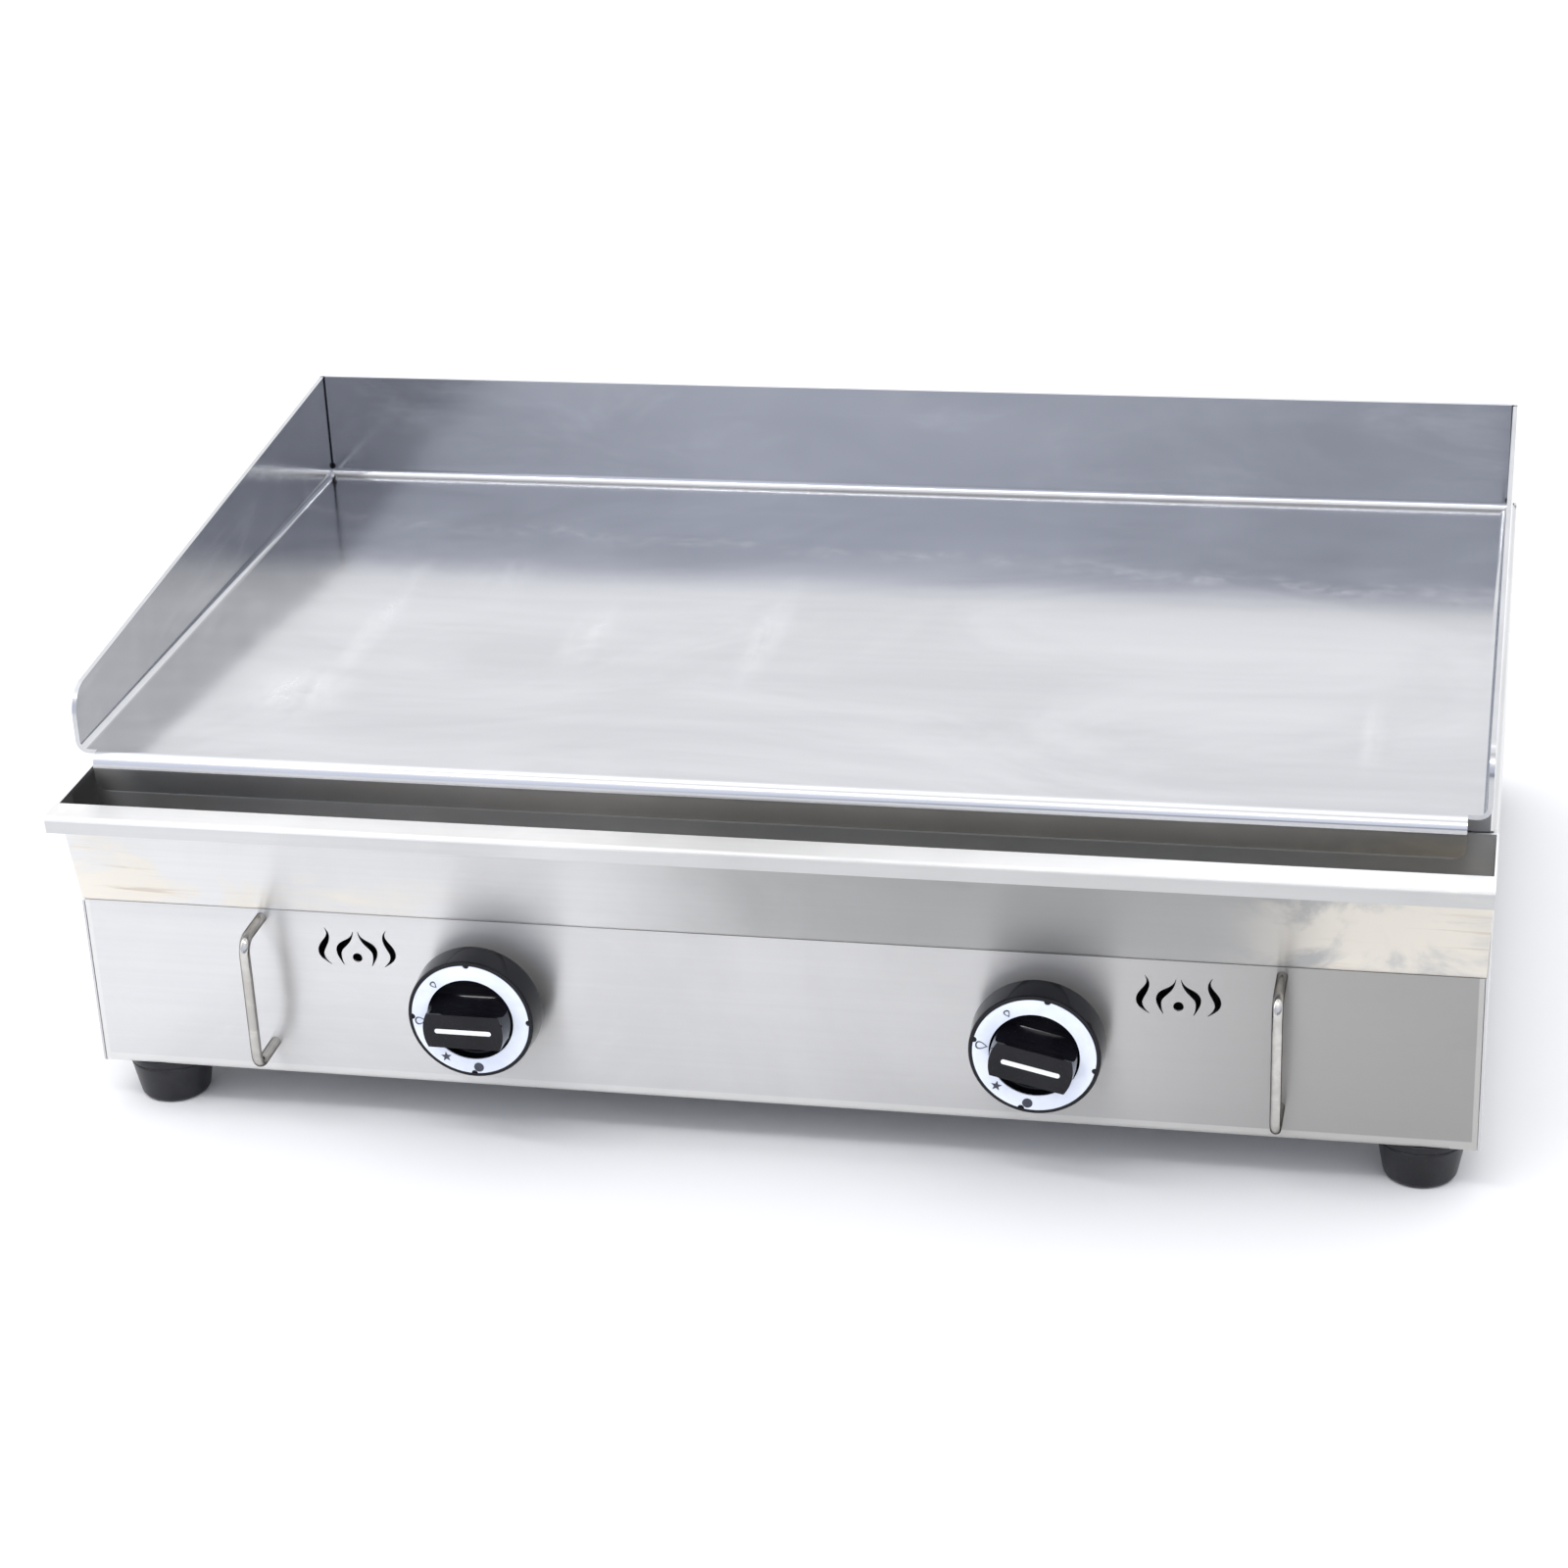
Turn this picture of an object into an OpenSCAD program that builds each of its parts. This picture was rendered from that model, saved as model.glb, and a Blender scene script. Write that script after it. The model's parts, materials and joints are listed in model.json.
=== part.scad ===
// Flat top griddle: a countertop gas griddle with two burners under one folded steel pan.
// Units are millimetres. X is the width, -Y is the front, +Z is up.
// The origin is at the middle of the footprint, on the surface that the feet stand on.

/* [Body] */
// Width over the two side panels
body_w = 730; // [720:1:760]
// Depth from the front panel to the back panel
body_d = 505; // [495:1:540]
// Height of the side and back panels
rim_h = 158; // [156:1:162]
// Height of the front panel
front_h = 98; // [97:0.5:99]
// Thickness of the body's sheet
sheet_t = 1.2; // [1:0.1:1.5]
// Height of the rubber feet
foot_h = 27; // [18:1:40]
// Top radius of a rubber foot
foot_r = 23.2; // [19:0.1:23.4]

/* [Griddle pan] */
// Thickness of the pan's plate
pan_t = 2.5; // [2:0.5:4]
// Gap between each side of the pan and the outside of the body
pan_inset = 2; // [1.5:0.5:4]
// Height of the cooking surface above the bottom edge of the panels
cook_h = 178.5; // [178:0.5:182]
// Height of the splash guard's top at the back, above the bottom edge of the panels
splash_h = 242; // [230:1:260]
// Height of the splash guard's top at the front
splash_front_h = 209.5; // [205:0.5:220]
// Depth of the cooking surface's back wall behind the front panel
pan_back = 440; // [430:1:442]
// Drop of the pan's front lip
pan_lip = 21.5; // [18:0.5:24]
// Lean of the front lip, its lower edge further back
lip_lean = 12; // [0:1:15]

/* [Grease trough] */
// Reach of the trough's lip in front of the front panel
lip_reach = 28.7; // [24:0.1:32]
// Width of the trough's flat lip
lip_w = 19; // [14:1:20]
// Height of the lip's turned-down edge
hem_h = 9.2; // [6:0.2:12]
// Height of the trough's rim
trough_h = 159.2; // [158.5:0.1:160]
// Depth of the trough's back face behind the front panel
trough_back = 38; // [36:0.5:38]

/* [Controls] */
// Distance of each knob from the middle
knob_x = 146; // [140:1:150]
// Height of the knobs above the bottom edge of the panels
knob_h = 56; // [55:0.5:58]
// Radius of a knob's rim
knob_r = 34.4; // [33.5:0.1:36]
// Reach of a knob's grip in front of the panel
knob_reach = 43.2; // [41:0.1:46]
// Angle of the left knob as it stands, seen from the front
left_knob_turn = 0; // [-20:1:20]
// Angle of the right knob as it stands, seen from the front
right_knob_turn = -13; // [-20:1:20]

/* [Handles and vents] */
// Distance of each handle from the middle
handle_x = 265.5; // [255:0.5:290]
// Pitch of a handle's two ends
handle_pitch = 74; // [70:1:76]
// Radius of the handle's round bar
handle_r = 2.8; // [2.5:0.1:3.5]
// Reach of the handle in front of the panel
handle_reach = 31; // [28:1:36]
// Distance of each lighting hole from the middle
vent_x = 214.5; // [205:0.5:225]
// Height of the lighting holes
vent_h = 72.5; // [71:0.5:75]

/* [Gas] */
// Outer radius of the gas inlet's thread
inlet_r = 10.48; // [10:0.01:10.6]
// Reach of the gas inlet behind the back panel
inlet_reach = 22; // [18:1:40]
// Distance of the gas inlet from the middle
inlet_x = 300; // [290:1:310]

/* [Hidden] */
$fn = 48;

// Places that follow from the sizes above
inlet_end = body_d + inlet_reach;
front_y = (knob_reach - inlet_end) / 2;
half_w = body_w / 2;
inner_x = half_w - sheet_t;
gap = 0.15;
bend_r = 2.5;
pan_half = half_w - pan_inset;
pan_front = 6;
pan_side_front = 15;
pan_under = cook_h - pan_t;
rail_top = pan_under - 0.1;
trough_top_half = half_w + 1.5;
trough_low_half = half_w - 1;
return_w = 13;
foot_x = half_w - 29.5;
foot_front = 23.5;
foot_rear = body_d - 30;
base_z = 2 * sheet_t;
pipe_r = 10.65;
pipe_bore = 8;
neck_r = 10.3;
pipe_z = 26;
valve_y = 42.5;
plug_r = 7.95;
plug_bore = 8;
spindle_r = 4;
burner_h = 90;
arm_gap = 69;
arm_r = 16;
shield_y = 96;
support_y = 425;
steel = [0.74, 0.75, 0.76];
dark_steel = [0.5, 0.51, 0.53];
brass = [0.78, 0.62, 0.3];

// ---- helpers ----

module at_body() {
  translate([0, front_y, foot_h]) children();
}

// A [y, z] outline swept across the width
module across(x0, x1) {
  translate([x0, 0, 0]) rotate([90, 0, 90]) linear_extrude(x1 - x0) children();
}

// An [x, z] outline swept from front to back
module backwards(y0, y1) {
  translate([0, y1, 0]) rotate([90, 0, 0]) linear_extrude(y1 - y0) children();
}

// An [x, y] outline swept upwards
module upwards(z0, z1) {
  translate([0, 0, z0]) linear_extrude(z1 - z0) children();
}

module box(low, high) {
  translate(low) cube(high - low);
}

// A round bar along +Y
module bar_y(x, z, r, y0, y1, r2 = 0) {
  translate([x, y0, z]) rotate([-90, 0, 0]) cylinder(r1 = r, r2 = r2 > 0 ? r2 : r, h = y1 - y0);
}

module bar_x(y, z, r, x0, x1) {
  translate([x0, y, z]) rotate([0, 90, 0]) cylinder(r = r, h = x1 - x0);
}

module bar_z(x, y, r, z0, z1) {
  translate([x, y, z0]) cylinder(r = r, h = z1 - z0);
}

module hex_z(x, y, r, z0, z1) {
  translate([x, y, z0]) cylinder(r = r, h = z1 - z0, $fn = 6);
}

module hex_y(x, z, r, y0, y1) {
  translate([x, y0, z]) rotate([-90, 0, 0]) cylinder(r = r, h = y1 - y0, $fn = 6);
}

module both_sides() {
  for (s = [-1, 1]) scale([s, 1, 1]) children();
}

// A folded sheet's section: pts is its middle line, r the middle radius of its bends
function unit(v) = v / norm(v);
function perp(v) = [-v.y, v.x];
function turned(v, a) = [v.x * cos(a) - v.y * sin(a), v.x * sin(a) + v.y * cos(a)];
function turn_angle(u, v) = atan2(u.x * v.y - u.y * v.x, u.x * v.x + u.y * v.y);
function bend_points(a, b, c, r, n) =
  let (u = unit(b - a), w = turn_angle(u, unit(c - b)), s = sign(w))
  let (centre = b - u * r * tan(abs(w) / 2) + perp(u) * r * s)
  [for (k = [0:n]) let (m = perp(turned(u, w * k / n))) [centre - m * r * s, m]];
function fold_line(pts, r, n) = let (last = len(pts) - 1) concat(
  [[pts[0], perp(unit(pts[1] - pts[0]))]],
  [for (i = [1:last - 1]) each bend_points(pts[i - 1], pts[i], pts[i + 1], r, n)],
  [[pts[last], perp(unit(pts[last] - pts[last - 1]))]]);
module fold(pts, t = sheet_t, r = bend_r, n = 6) {
  line = fold_line(pts, r, n);
  polygon(concat(
    [for (q = line) q[0] + q[1] * t / 2],
    [for (i = [len(line) - 1:-1:0]) line[i][0] - line[i][1] * t / 2]));
}

// A slot with round ends, as an outline along its own X
module slot_shape(l, w) {
  for (s = [-1, 1]) translate([s * (l - w) / 2, 0]) circle(r = w / 2);
  square([l - w, w], center = true);
}

// ---- casing ----

// One curved slot of a flame vent, as a tapering stroke along a cubic curve
function cubic(p, t) = p[0] * pow(1 - t, 3) + p[1] * 3 * t * pow(1 - t, 2)
  + p[2] * 3 * t * t * (1 - t) + p[3] * pow(t, 3);
function cubic_dir(p, t) = unit((p[1] - p[0]) * pow(1 - t, 2) + (p[2] - p[1]) * 2 * t * (1 - t)
  + (p[3] - p[2]) * t * t);
module flame_slot(p, w) {
  n = 18;
  function half(t) = 0.12 + w * pow(sin(180 * pow(t, 0.85)), 1.3);
  polygon(concat(
    [for (k = [0:n]) let (t = k / n) cubic(p, t) + perp(cubic_dir(p, t)) * half(t)],
    [for (k = [n:-1:0]) let (t = k / n) cubic(p, t) - perp(cubic_dir(p, t)) * half(t)]));
}
outer_flame = [[14.6, -4.6], [27.5, 4.5], [10.5, 8.5], [16.8, 16.6]];
inner_flame = [[7.6, -4.6], [14.5, 9.5], [3, 5.5], [1.3, 15.2]];
module flame_vent(x) {
  translate([x, vent_h]) {
    circle(r = 2.6);
    for (s = [-1, 1]) scale([s, 1]) {
      flame_slot(outer_flame, 1.75);
      flame_slot(inner_flame, 1.75);
    }
  }
}

module front_panel() {
  t = sheet_t / 2;
  web_half = half_w - 14;
  end_x = inner_x - gap;
  color(steel) at_body() difference() {
    union() {
      across(-web_half, web_half) fold([[return_w, t], [t, t], [t, front_h]]);
      across(-handle_x + 20, handle_x - 20) fold([[t, front_h - 20], [t, front_h - t], [return_w, front_h - t]]);
      both_sides() upwards(sheet_t, front_h)
        fold([[web_half - 1, t], [end_x - t, t], [end_x - t, return_w]], sheet_t, 1);
    }
    for (s = [-1, 1]) {
      bar_y(s * knob_x, knob_h, 8, -1, 3);
      for (e = [-1, 1]) bar_y(s * handle_x, knob_h + e * handle_pitch / 2, 2.6, -1, 3);
    }
    backwards(-1, 3) for (s = [-1, 1]) flame_vent(s * vent_x);
  }
}

// The left panel is the right one mirrored
module side_panel() {
  t = sheet_t / 2;
  x = half_w - t;
  at_body() difference() {
    union() {
      backwards(trough_back + 4, body_d - 4)
        fold([[half_w - 15, rim_h - t], [x, rim_h - t], [x, t], [half_w - 15, t]]);
      across(inner_x, half_w) polygon([
        [1.5, 0], [trough_back + 5, 0], [trough_back + 5, rim_h], [trough_back + 0.2, rim_h],
        [trough_back + 0.2, front_h], [2, front_h], [0.6, front_h - 0.6], [0, front_h - 2], [0, 1.5]]);
      box([inner_x, body_d - 5, 0], [half_w, body_d, rim_h]);
    }
    for (y = [60, body_d / 2, body_d - 60]) bar_z(half_w - 9, y, 2.1, -1, 3);
  }
}
module right_side_panel() {
  color(steel) side_panel();
}
module left_side_panel() {
  color(steel) mirror([1, 0, 0]) side_panel();
}

module back_panel() {
  t = sheet_t / 2;
  end_x = inner_x - gap;
  color(steel) at_body() difference() {
    union() {
      box([-end_x, body_d - sheet_t, 1.5], [end_x, body_d, rim_h]);
      across(-half_w + 20, half_w - 20)
        fold([[body_d - return_w, t], [body_d - t, t], [body_d - t, 20]]);
    }
    bar_y(inlet_x, pipe_z, inlet_r + 0.6, body_d - 3, body_d + 1);
    backwards(body_d - 3, body_d + 1) for (i = [-4:4]) for (z = [112, 128])
      translate([i * 72, z]) slot_shape(54, 6);
  }
}

module base_pan() {
  t = sheet_t / 2;
  wall_x = inner_x - 3.4;
  color(dark_steel) at_body() difference() {
    backwards(3, body_d - 3)
      fold([[-wall_x, 14], [-wall_x, base_z - t], [wall_x, base_z - t], [wall_x, 14]]);
    for (s = [-1, 1]) {
      for (y = [foot_front, foot_rear]) bar_z(s * foot_x, y, 3.2, 0, 4);
      for (y = [60, body_d / 2, body_d - 60]) bar_z(s * (half_w - 9), y, 2.1, 0, 4);
    }
    upwards(0, 4) for (i = [-3:3]) for (y = [180, 250, 320])
      translate([i * 80, y]) slot_shape(56, 8);
  }
}

// Slotted cover over the flue gap behind the pan
module flue_cover() {
  t = sheet_t / 2;
  color(steel) at_body() difference() {
    across(-inner_x + 2, inner_x - 2)
      fold([[pan_back + 8, rim_h - 12], [pan_back + 8, rim_h + t], [body_d, rim_h + t]]);
    both_sides() box([half_w - 16, 0, rim_h - 20], [half_w, pan_back + 12, rim_h - 0.05]);
    upwards(rim_h - 2, rim_h + 3) for (i = [-6:6]) for (y = [pan_back + 24, pan_back + 44])
      translate([i * 52, y]) slot_shape(40, 7);
  }
}

// Folded gutter: turned-down lip, sloping front, flat floor, upright back and raked ends
module grease_trough() {
  t = sheet_t / 2;
  lip_back = lip_reach - lip_w;
  floor_front = -1;
  section = [[-lip_reach + t, trough_h - hem_h], [-lip_reach + t, trough_h - t],
    [-lip_back - t, trough_h - t], [floor_front + t, front_h + t], [trough_back - t, front_h + t],
    [trough_back - t, trough_h - 0.8]];
  rake = [[trough_low_half, front_h], [trough_top_half, trough_h]];
  color(steel) at_body() {
    intersection() {
      across(-trough_top_half - 1, trough_top_half + 1) fold(section, sheet_t, 2);
      backwards(-60, 60) polygon([[-rake[0].x, front_h], [rake[0].x, front_h],
        rake[1], [-rake[1].x, trough_h]]);
    }
    both_sides() intersection() {
      across(trough_low_half - 10, trough_top_half + 5) polygon([
        [-lip_back - 1, trough_h - 0.8], [floor_front + 1.2, front_h + t],
        [trough_back - t, front_h + t], [trough_back - t, trough_h - 0.8]]);
      backwards(-60, 60) polygon([rake[0], rake[1], [rake[1].x - sheet_t, trough_h],
        [rake[0].x - sheet_t, front_h]]);
    }
  }
}

// Cross rail under the pan, with a tab at each end
module cross_rail(web_y, flange_y, low) {
  t = sheet_t / 2;
  tab_low = min(web_y, flange_y);
  tab_high = max(web_y, flange_y);
  difference() {
    across(-inner_x + 1.5, inner_x - 1.5)
      fold([[web_y, low], [web_y, rail_top - t], [flange_y, rail_top - t]]);
    both_sides() box([half_w - 15.6, web_y - 3, rim_h - 3], [half_w, web_y + 3, rim_h + 1]);
  }
  both_sides() box([inner_x - 1.5, tab_low, rim_h - 40], [inner_x - 0.05, tab_high, rim_h - 8]);
  both_sides() box([inner_x - 15, tab_low, rim_h - 10], [inner_x - 0.05, tab_high, rim_h - 8]);
}
module front_rail() {
  y = trough_back + 1.2;
  color(dark_steel) at_body() cross_rail(y, y + 24, front_h + 1);
}
module rear_rail() {
  color(dark_steel) at_body() cross_rail(pan_back - 12, pan_back - 36, front_h + 20);
}

// Sheet between the valves and the burners
module heat_shield() {
  t = sheet_t / 2;
  x = inner_x - 6;
  color(dark_steel) at_body() difference() {
    across(-x, x) fold([[shield_y + 18, base_z + t], [shield_y, base_z + t], [shield_y, rim_h - 8]]);
    bar_y(inlet_x, pipe_z, pipe_r + 1, shield_y - 3, shield_y + 3);
    for (s = [-1, 1]) {
      bar_y(s * knob_x, burner_h, 14.4, shield_y - 3, shield_y + 3);
      bar_y(s * pilot_x, pilot_z, 4, shield_y - 3, shield_y + 3);
    }
  }
}

module rear_burner_support() {
  t = sheet_t / 2;
  x = inner_x - 6;
  color(dark_steel) at_body() difference() {
    across(-x, x) fold([[support_y - 18, base_z + t], [support_y, base_z + t],
      [support_y, burner_h + arm_r + 10]]);
    bar_y(inlet_x, pipe_z, pipe_r + 1, support_y - 3, support_y + 3);
    for (s = [-1, 1]) for (a = [-1, 1])
      bar_y(s * knob_x + a * arm_gap, burner_h, arm_r + 0.1, support_y - 3, support_y + 3);
  }
}

// ---- griddle pan ----

module griddle_plate() {
  t = pan_t / 2;
  r = 5.5;
  wall_x = pan_half - t;
  mid_z = cook_h - t;
  back_y = pan_back - t;
  lip_x = pan_half - 11.5;
  nose_y = pan_side_front;
  slope = (splash_h - splash_front_h) / (pan_back - pan_front);
  function edge_z(y) = splash_front_h + slope * (y - pan_front);
  nose_r = 16;
  lip_y = pan_front + tan(lip_lean) * (pan_lip - t);
  color(steel) at_body() {
    // Plate and side walls
    intersection() {
      union() {
        backwards(nose_y, back_y - 5)
          fold([[-wall_x, splash_h + 1], [-wall_x, mid_z], [wall_x, mid_z], [wall_x, splash_h + 1]],
            pan_t, r);
        both_sides() intersection() {
          backwards(back_y - 5.5, pan_back)
            fold([[0, mid_z], [wall_x, mid_z], [wall_x, splash_h + 1]], pan_t, r);
          box([pan_half - 9, 0, 0], [pan_half + 1, body_d, 400]);
        }
      }
      across(-half_w, half_w) polygon(concat(
        [[nose_y - 1, pan_under - 5], [pan_back + 1, pan_under - 5], [pan_back + 1, splash_h]],
        [for (a = [90:10:180]) [nose_y + nose_r + nose_r * cos(a), edge_z(nose_y + nose_r) - nose_r
          + nose_r * sin(a)]]));
    }
    // Back wall
    across(-pan_half, pan_half)
      fold([[back_y - 14, mid_z], [back_y, mid_z], [back_y, splash_h]], pan_t, r);
    // Front lip with rounded lower corners
    intersection() {
      across(-lip_x, lip_x)
        fold([[lip_y + t, cook_h - pan_lip], [pan_front + t, mid_z], [nose_y + 10, mid_z]], pan_t, 5);
      backwards(0, 60) {
        square([2 * lip_x - 12, 500], center = true);
        for (s = [-1, 1]) translate([s * (lip_x - 6), cook_h - pan_lip + 6]) circle(r = 6);
        translate([-lip_x, cook_h - pan_lip + 6]) square([2 * lip_x, 60]);
      }
    }
  }
}

// ---- burners and gas ----

// U burner: mouth, venturi, cross tube and two drilled arms
module burner(x) {
  wall = 1.5;
  cross_y = 150;
  arm_end = 442;
  mouth_r = 20;
  mouth_y = 66;
  at_body() difference() {
    union() {
      bar_y(x, burner_h, mouth_r, mouth_y, mouth_y + 16);
      bar_y(x, burner_h, mouth_r - 0.4, mouth_y + 15, shield_y - 4, 14);
      bar_y(x, burner_h, 14, shield_y - 5, cross_y);
      bar_x(cross_y, burner_h, arm_r - 1, x - arm_gap, x + arm_gap);
      for (a = [-1, 1]) bar_y(x + a * arm_gap, burner_h, arm_r, cross_y - 18, arm_end);
    }
    bar_y(x, burner_h, 5.2, mouth_y - 1, mouth_y + 3);
    bar_y(x, burner_h, mouth_r - wall, mouth_y + wall, mouth_y + 15);
    bar_y(x, burner_h, mouth_r - wall - 0.4, mouth_y + 14.9, shield_y - 4, 14 - wall);
    bar_y(x, burner_h, 14 - wall, shield_y - 5, cross_y);
    bar_x(cross_y, burner_h, arm_r - 1 - wall, x - arm_gap, x + arm_gap);
    for (a = [-1, 1])
      bar_y(x + a * arm_gap, burner_h, arm_r - wall, cross_y - 18 + wall, arm_end - wall);
    shutter_windows(x, mouth_y + 4, mouth_y + 13, mouth_r);
    for (a = [-1, 1]) for (i = [0:13]) for (lean = [-35, 35])
      translate([x + a * arm_gap, cross_y + 30 + i * 17.5, burner_h])
        rotate([0, lean, 0]) cylinder(r = 1.3, h = arm_r + 2);
  }
}
module left_burner() {
  color(dark_steel) burner(-knob_x);
}
module right_burner() {
  color(dark_steel) burner(knob_x);
}

// Three air windows around a burner's mouth
module shutter_windows(x, y0, y1, r) {
  for (a = [0, 120, 240]) translate([x, 0, burner_h]) rotate([0, a, 0])
    box([-8, y0, r - 6], [8, y1, r + 6]);
}
module air_shutter(x) {
  at_body() difference() {
    bar_y(x, burner_h, 21.4, 67, 81);
    bar_y(x, burner_h, 20.06, 66, 82);
    shutter_windows(x, 70, 79, 21);
  }
}
module left_air_shutter() {
  color(steel) air_shutter(-knob_x);
}
module right_air_shutter() {
  color(steel) air_shutter(knob_x);
}

module gas_manifold() {
  color(dark_steel) at_body() difference() {
    bar_x(valve_y, pipe_z, pipe_r, -knob_x - 30, inlet_x - 16);
    bar_x(valve_y, pipe_z, pipe_bore, -knob_x - 31, inlet_x - 15);
    for (s = [-1, 1]) bar_z(s * knob_x, valve_y, 6.05, pipe_z, pipe_z + 15);
  }
}
module manifold_plug() {
  color(brass) at_body() {
    bar_x(valve_y, pipe_z, pipe_bore - 0.02, -knob_x - 30, -knob_x - 18);
    bar_x(valve_y, pipe_z, pipe_r + 1.5, -knob_x - 36, -knob_x - 30);
  }
}
// Elbow block that turns the manifold towards the back
module manifold_elbow() {
  color(dark_steel) at_body() difference() {
    box([inlet_x - 16, valve_y - 15, pipe_z - 14], [inlet_x + 14, valve_y + 17, pipe_z + 14]);
    bar_x(valve_y, pipe_z, pipe_bore, inlet_x - 17, inlet_x);
    bar_y(inlet_x, pipe_z, pipe_bore, valve_y, valve_y + 18);
    translate([inlet_x, valve_y, pipe_z]) sphere(r = pipe_bore + 0.1);
  }
}
module inlet_pipe() {
  neck = body_d + 6;
  color(dark_steel) at_body() difference() {
    union() {
      bar_y(inlet_x, pipe_z, neck_r, valve_y + 17, neck);
      bar_y(inlet_x, pipe_z, inlet_r, neck, inlet_end);
    }
    bar_y(inlet_x, pipe_z, pipe_bore, valve_y + 16, inlet_end + 1);
  }
}
module inlet_nuts() {
  color(brass) at_body() difference() {
    union() {
      hex_y(inlet_x, pipe_z, 16, body_d - sheet_t - 5, body_d - sheet_t);
      bar_y(inlet_x, pipe_z, 15, body_d, body_d + 1);
      hex_y(inlet_x, pipe_z, 16, body_d + 1, body_d + 6);
    }
    bar_y(inlet_x, pipe_z, neck_r + 0.02, body_d - 10, body_d + 10);
  }
}

module valve_body(s) {
  x = s * knob_x;
  at_body() difference() {
    union() {
      bar_y(x, knob_h, 14, 14, 51);
      bar_z(x, valve_y, 8, pipe_z + pipe_r + 0.5, knob_h);
      bar_z(x, valve_y, 6, pipe_z + pipe_bore, knob_h);
      bar_z(x, valve_y, 8, knob_h, 76);
      bar_x(valve_y, knob_h, 5, min(x, x + s * 20), max(x, x + s * 20));
    }
    bar_y(x, knob_h, plug_bore, 13, 47.2);
    bar_z(x, valve_y, 3, pipe_z, 77);
    bar_x(valve_y, knob_h, 1.5, min(x, x + s * 21), max(x, x + s * 21));
    for (e = [-1, 1]) bar_y(x + e * 11, knob_h, 1.55, 13, 24);
  }
}
module left_valve_body() {
  color(brass) valve_body(-1);
}
module right_valve_body() {
  color(brass) valve_body(1);
}

module valve_bonnet(x) {
  at_body() difference() {
    translate([x, 14, knob_h]) rotate([90, 0, 0]) linear_extrude(3.5) {
      square([22, 18], center = true);
      for (e = [-1, 1]) translate([e * 11, 0]) circle(r = 5);
    }
    bar_y(x, knob_h, spindle_r + 0.06, 5, 20);
    for (e = [-1, 1]) bar_y(x + e * 11, knob_h, 1.55, 5, 20);
  }
}
module left_valve_bonnet() {
  color(brass) valve_bonnet(-knob_x);
}
module right_valve_bonnet() {
  color(brass) valve_bonnet(knob_x);
}
module bonnet_screws() {
  color(steel) at_body() for (s = [-1, 1]) for (e = [-1, 1]) {
    bar_y(s * knob_x + e * 11, knob_h, 1.5, 10, 22);
    bar_y(s * knob_x + e * 11, knob_h, 2.8, 8.3, 10.5);
  }
}

// Things on a knob's axis: local +Z points out of the panel, local Y up
module on_knob(x, turn) {
  at_body() translate([x, 0, knob_h]) rotate([90, 0, 0]) rotate([0, 0, turn]) children();
}

module valve_plug() {
  difference() {
    translate([0, 0, -47]) cylinder(r = plug_r, h = 20.7);
    box([-1.65, -5.2, -38.2], [1.65, 5.2, -20]);
    translate([-10, 0, -valve_y]) rotate([0, 90, 0]) cylinder(r = 2.5, h = 20);
  }
}
module left_valve_plug() {
  color(brass) on_knob(-knob_x, left_knob_turn) valve_plug();
}
module right_valve_plug() {
  color(brass) on_knob(knob_x, right_knob_turn) valve_plug();
}

// Spindle with a flat for the knob, a stop collar and a tongue that drives the plug
module spindle() {
  difference() {
    translate([0, 0, -14.1]) cylinder(r = spindle_r, h = 36.1);
    box([-5, 2.6, 8], [5, 5, 23]);
  }
  translate([0, 0, -15.6]) cylinder(r = 6.5, h = 1.5);
  box([-1.5, -5, -33], [1.5, 5, -15.5]);
}
module left_spindle() {
  color(dark_steel) on_knob(-knob_x, left_knob_turn) spindle();
}
module right_spindle() {
  color(dark_steel) on_knob(knob_x, right_knob_turn) spindle();
}

// Coil spring round the tongue, swept as rings of points along a helix
module coil_spring(r, wire, z0, z1, turns) {
  steps = 20;
  sides = 8;
  rings = turns * steps;
  function ring_centre(i) = [r * cos(360 * i / steps), r * sin(360 * i / steps),
    z0 + wire + (z1 - z0 - 2 * wire) * i / rings];
  function ring(i) = [for (k = [0:sides - 1]) ring_centre(i)
    + wire * cos(360 * k / sides) * [cos(360 * i / steps), sin(360 * i / steps), 0]
    + wire * sin(360 * k / sides) * [0, 0, 1]];
  polyhedron(
    points = [for (i = [0:rings]) each ring(i)],
    faces = concat(
      [[for (k = [0:sides - 1]) k]],
      [for (i = [0:rings - 1]) for (k = [0:sides - 1]) let (m = (k + 1) % sides)
        [i * sides + k, (i + 1) * sides + k, (i + 1) * sides + m, i * sides + m]],
      [[for (k = [sides - 1:-1:0]) rings * sides + k]]));
}
module left_valve_spring() {
  color(steel) on_knob(-knob_x, 0) coil_spring(6.7, 0.45, -26.2, -15.7, 5);
}
module right_valve_spring() {
  color(steel) on_knob(knob_x, 0) coil_spring(6.7, 0.45, -26.2, -15.7, 5);
}

// Block that takes the gas up from the valve and back to the jet
module jet_elbow(x) {
  at_body() difference() {
    union() {
      bar_z(x, valve_y, 6.5, 76, burner_h);
      box([x - 7.5, valve_y - 7.5, burner_h - 7.5], [x + 7.5, valve_y + 7.5, burner_h + 7.5]);
      bar_y(x, burner_h, 6.5, valve_y, 57);
    }
    bar_z(x, valve_y, 2.5, 75, burner_h);
    bar_y(x, burner_h, 2.5, valve_y, 58);
  }
}
module left_jet_elbow() {
  color(brass) jet_elbow(-knob_x);
}
module right_jet_elbow() {
  color(brass) jet_elbow(knob_x);
}
module gas_jet(x) {
  at_body() difference() {
    union() {
      hex_y(x, burner_h, 6.5, 57, 62);
      bar_y(x, burner_h, 4.5, 61.5, 69);
    }
    bar_y(x, burner_h, 2.5, 56, 66);
    bar_y(x, burner_h, 0.6, 65, 70);
  }
}
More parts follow.
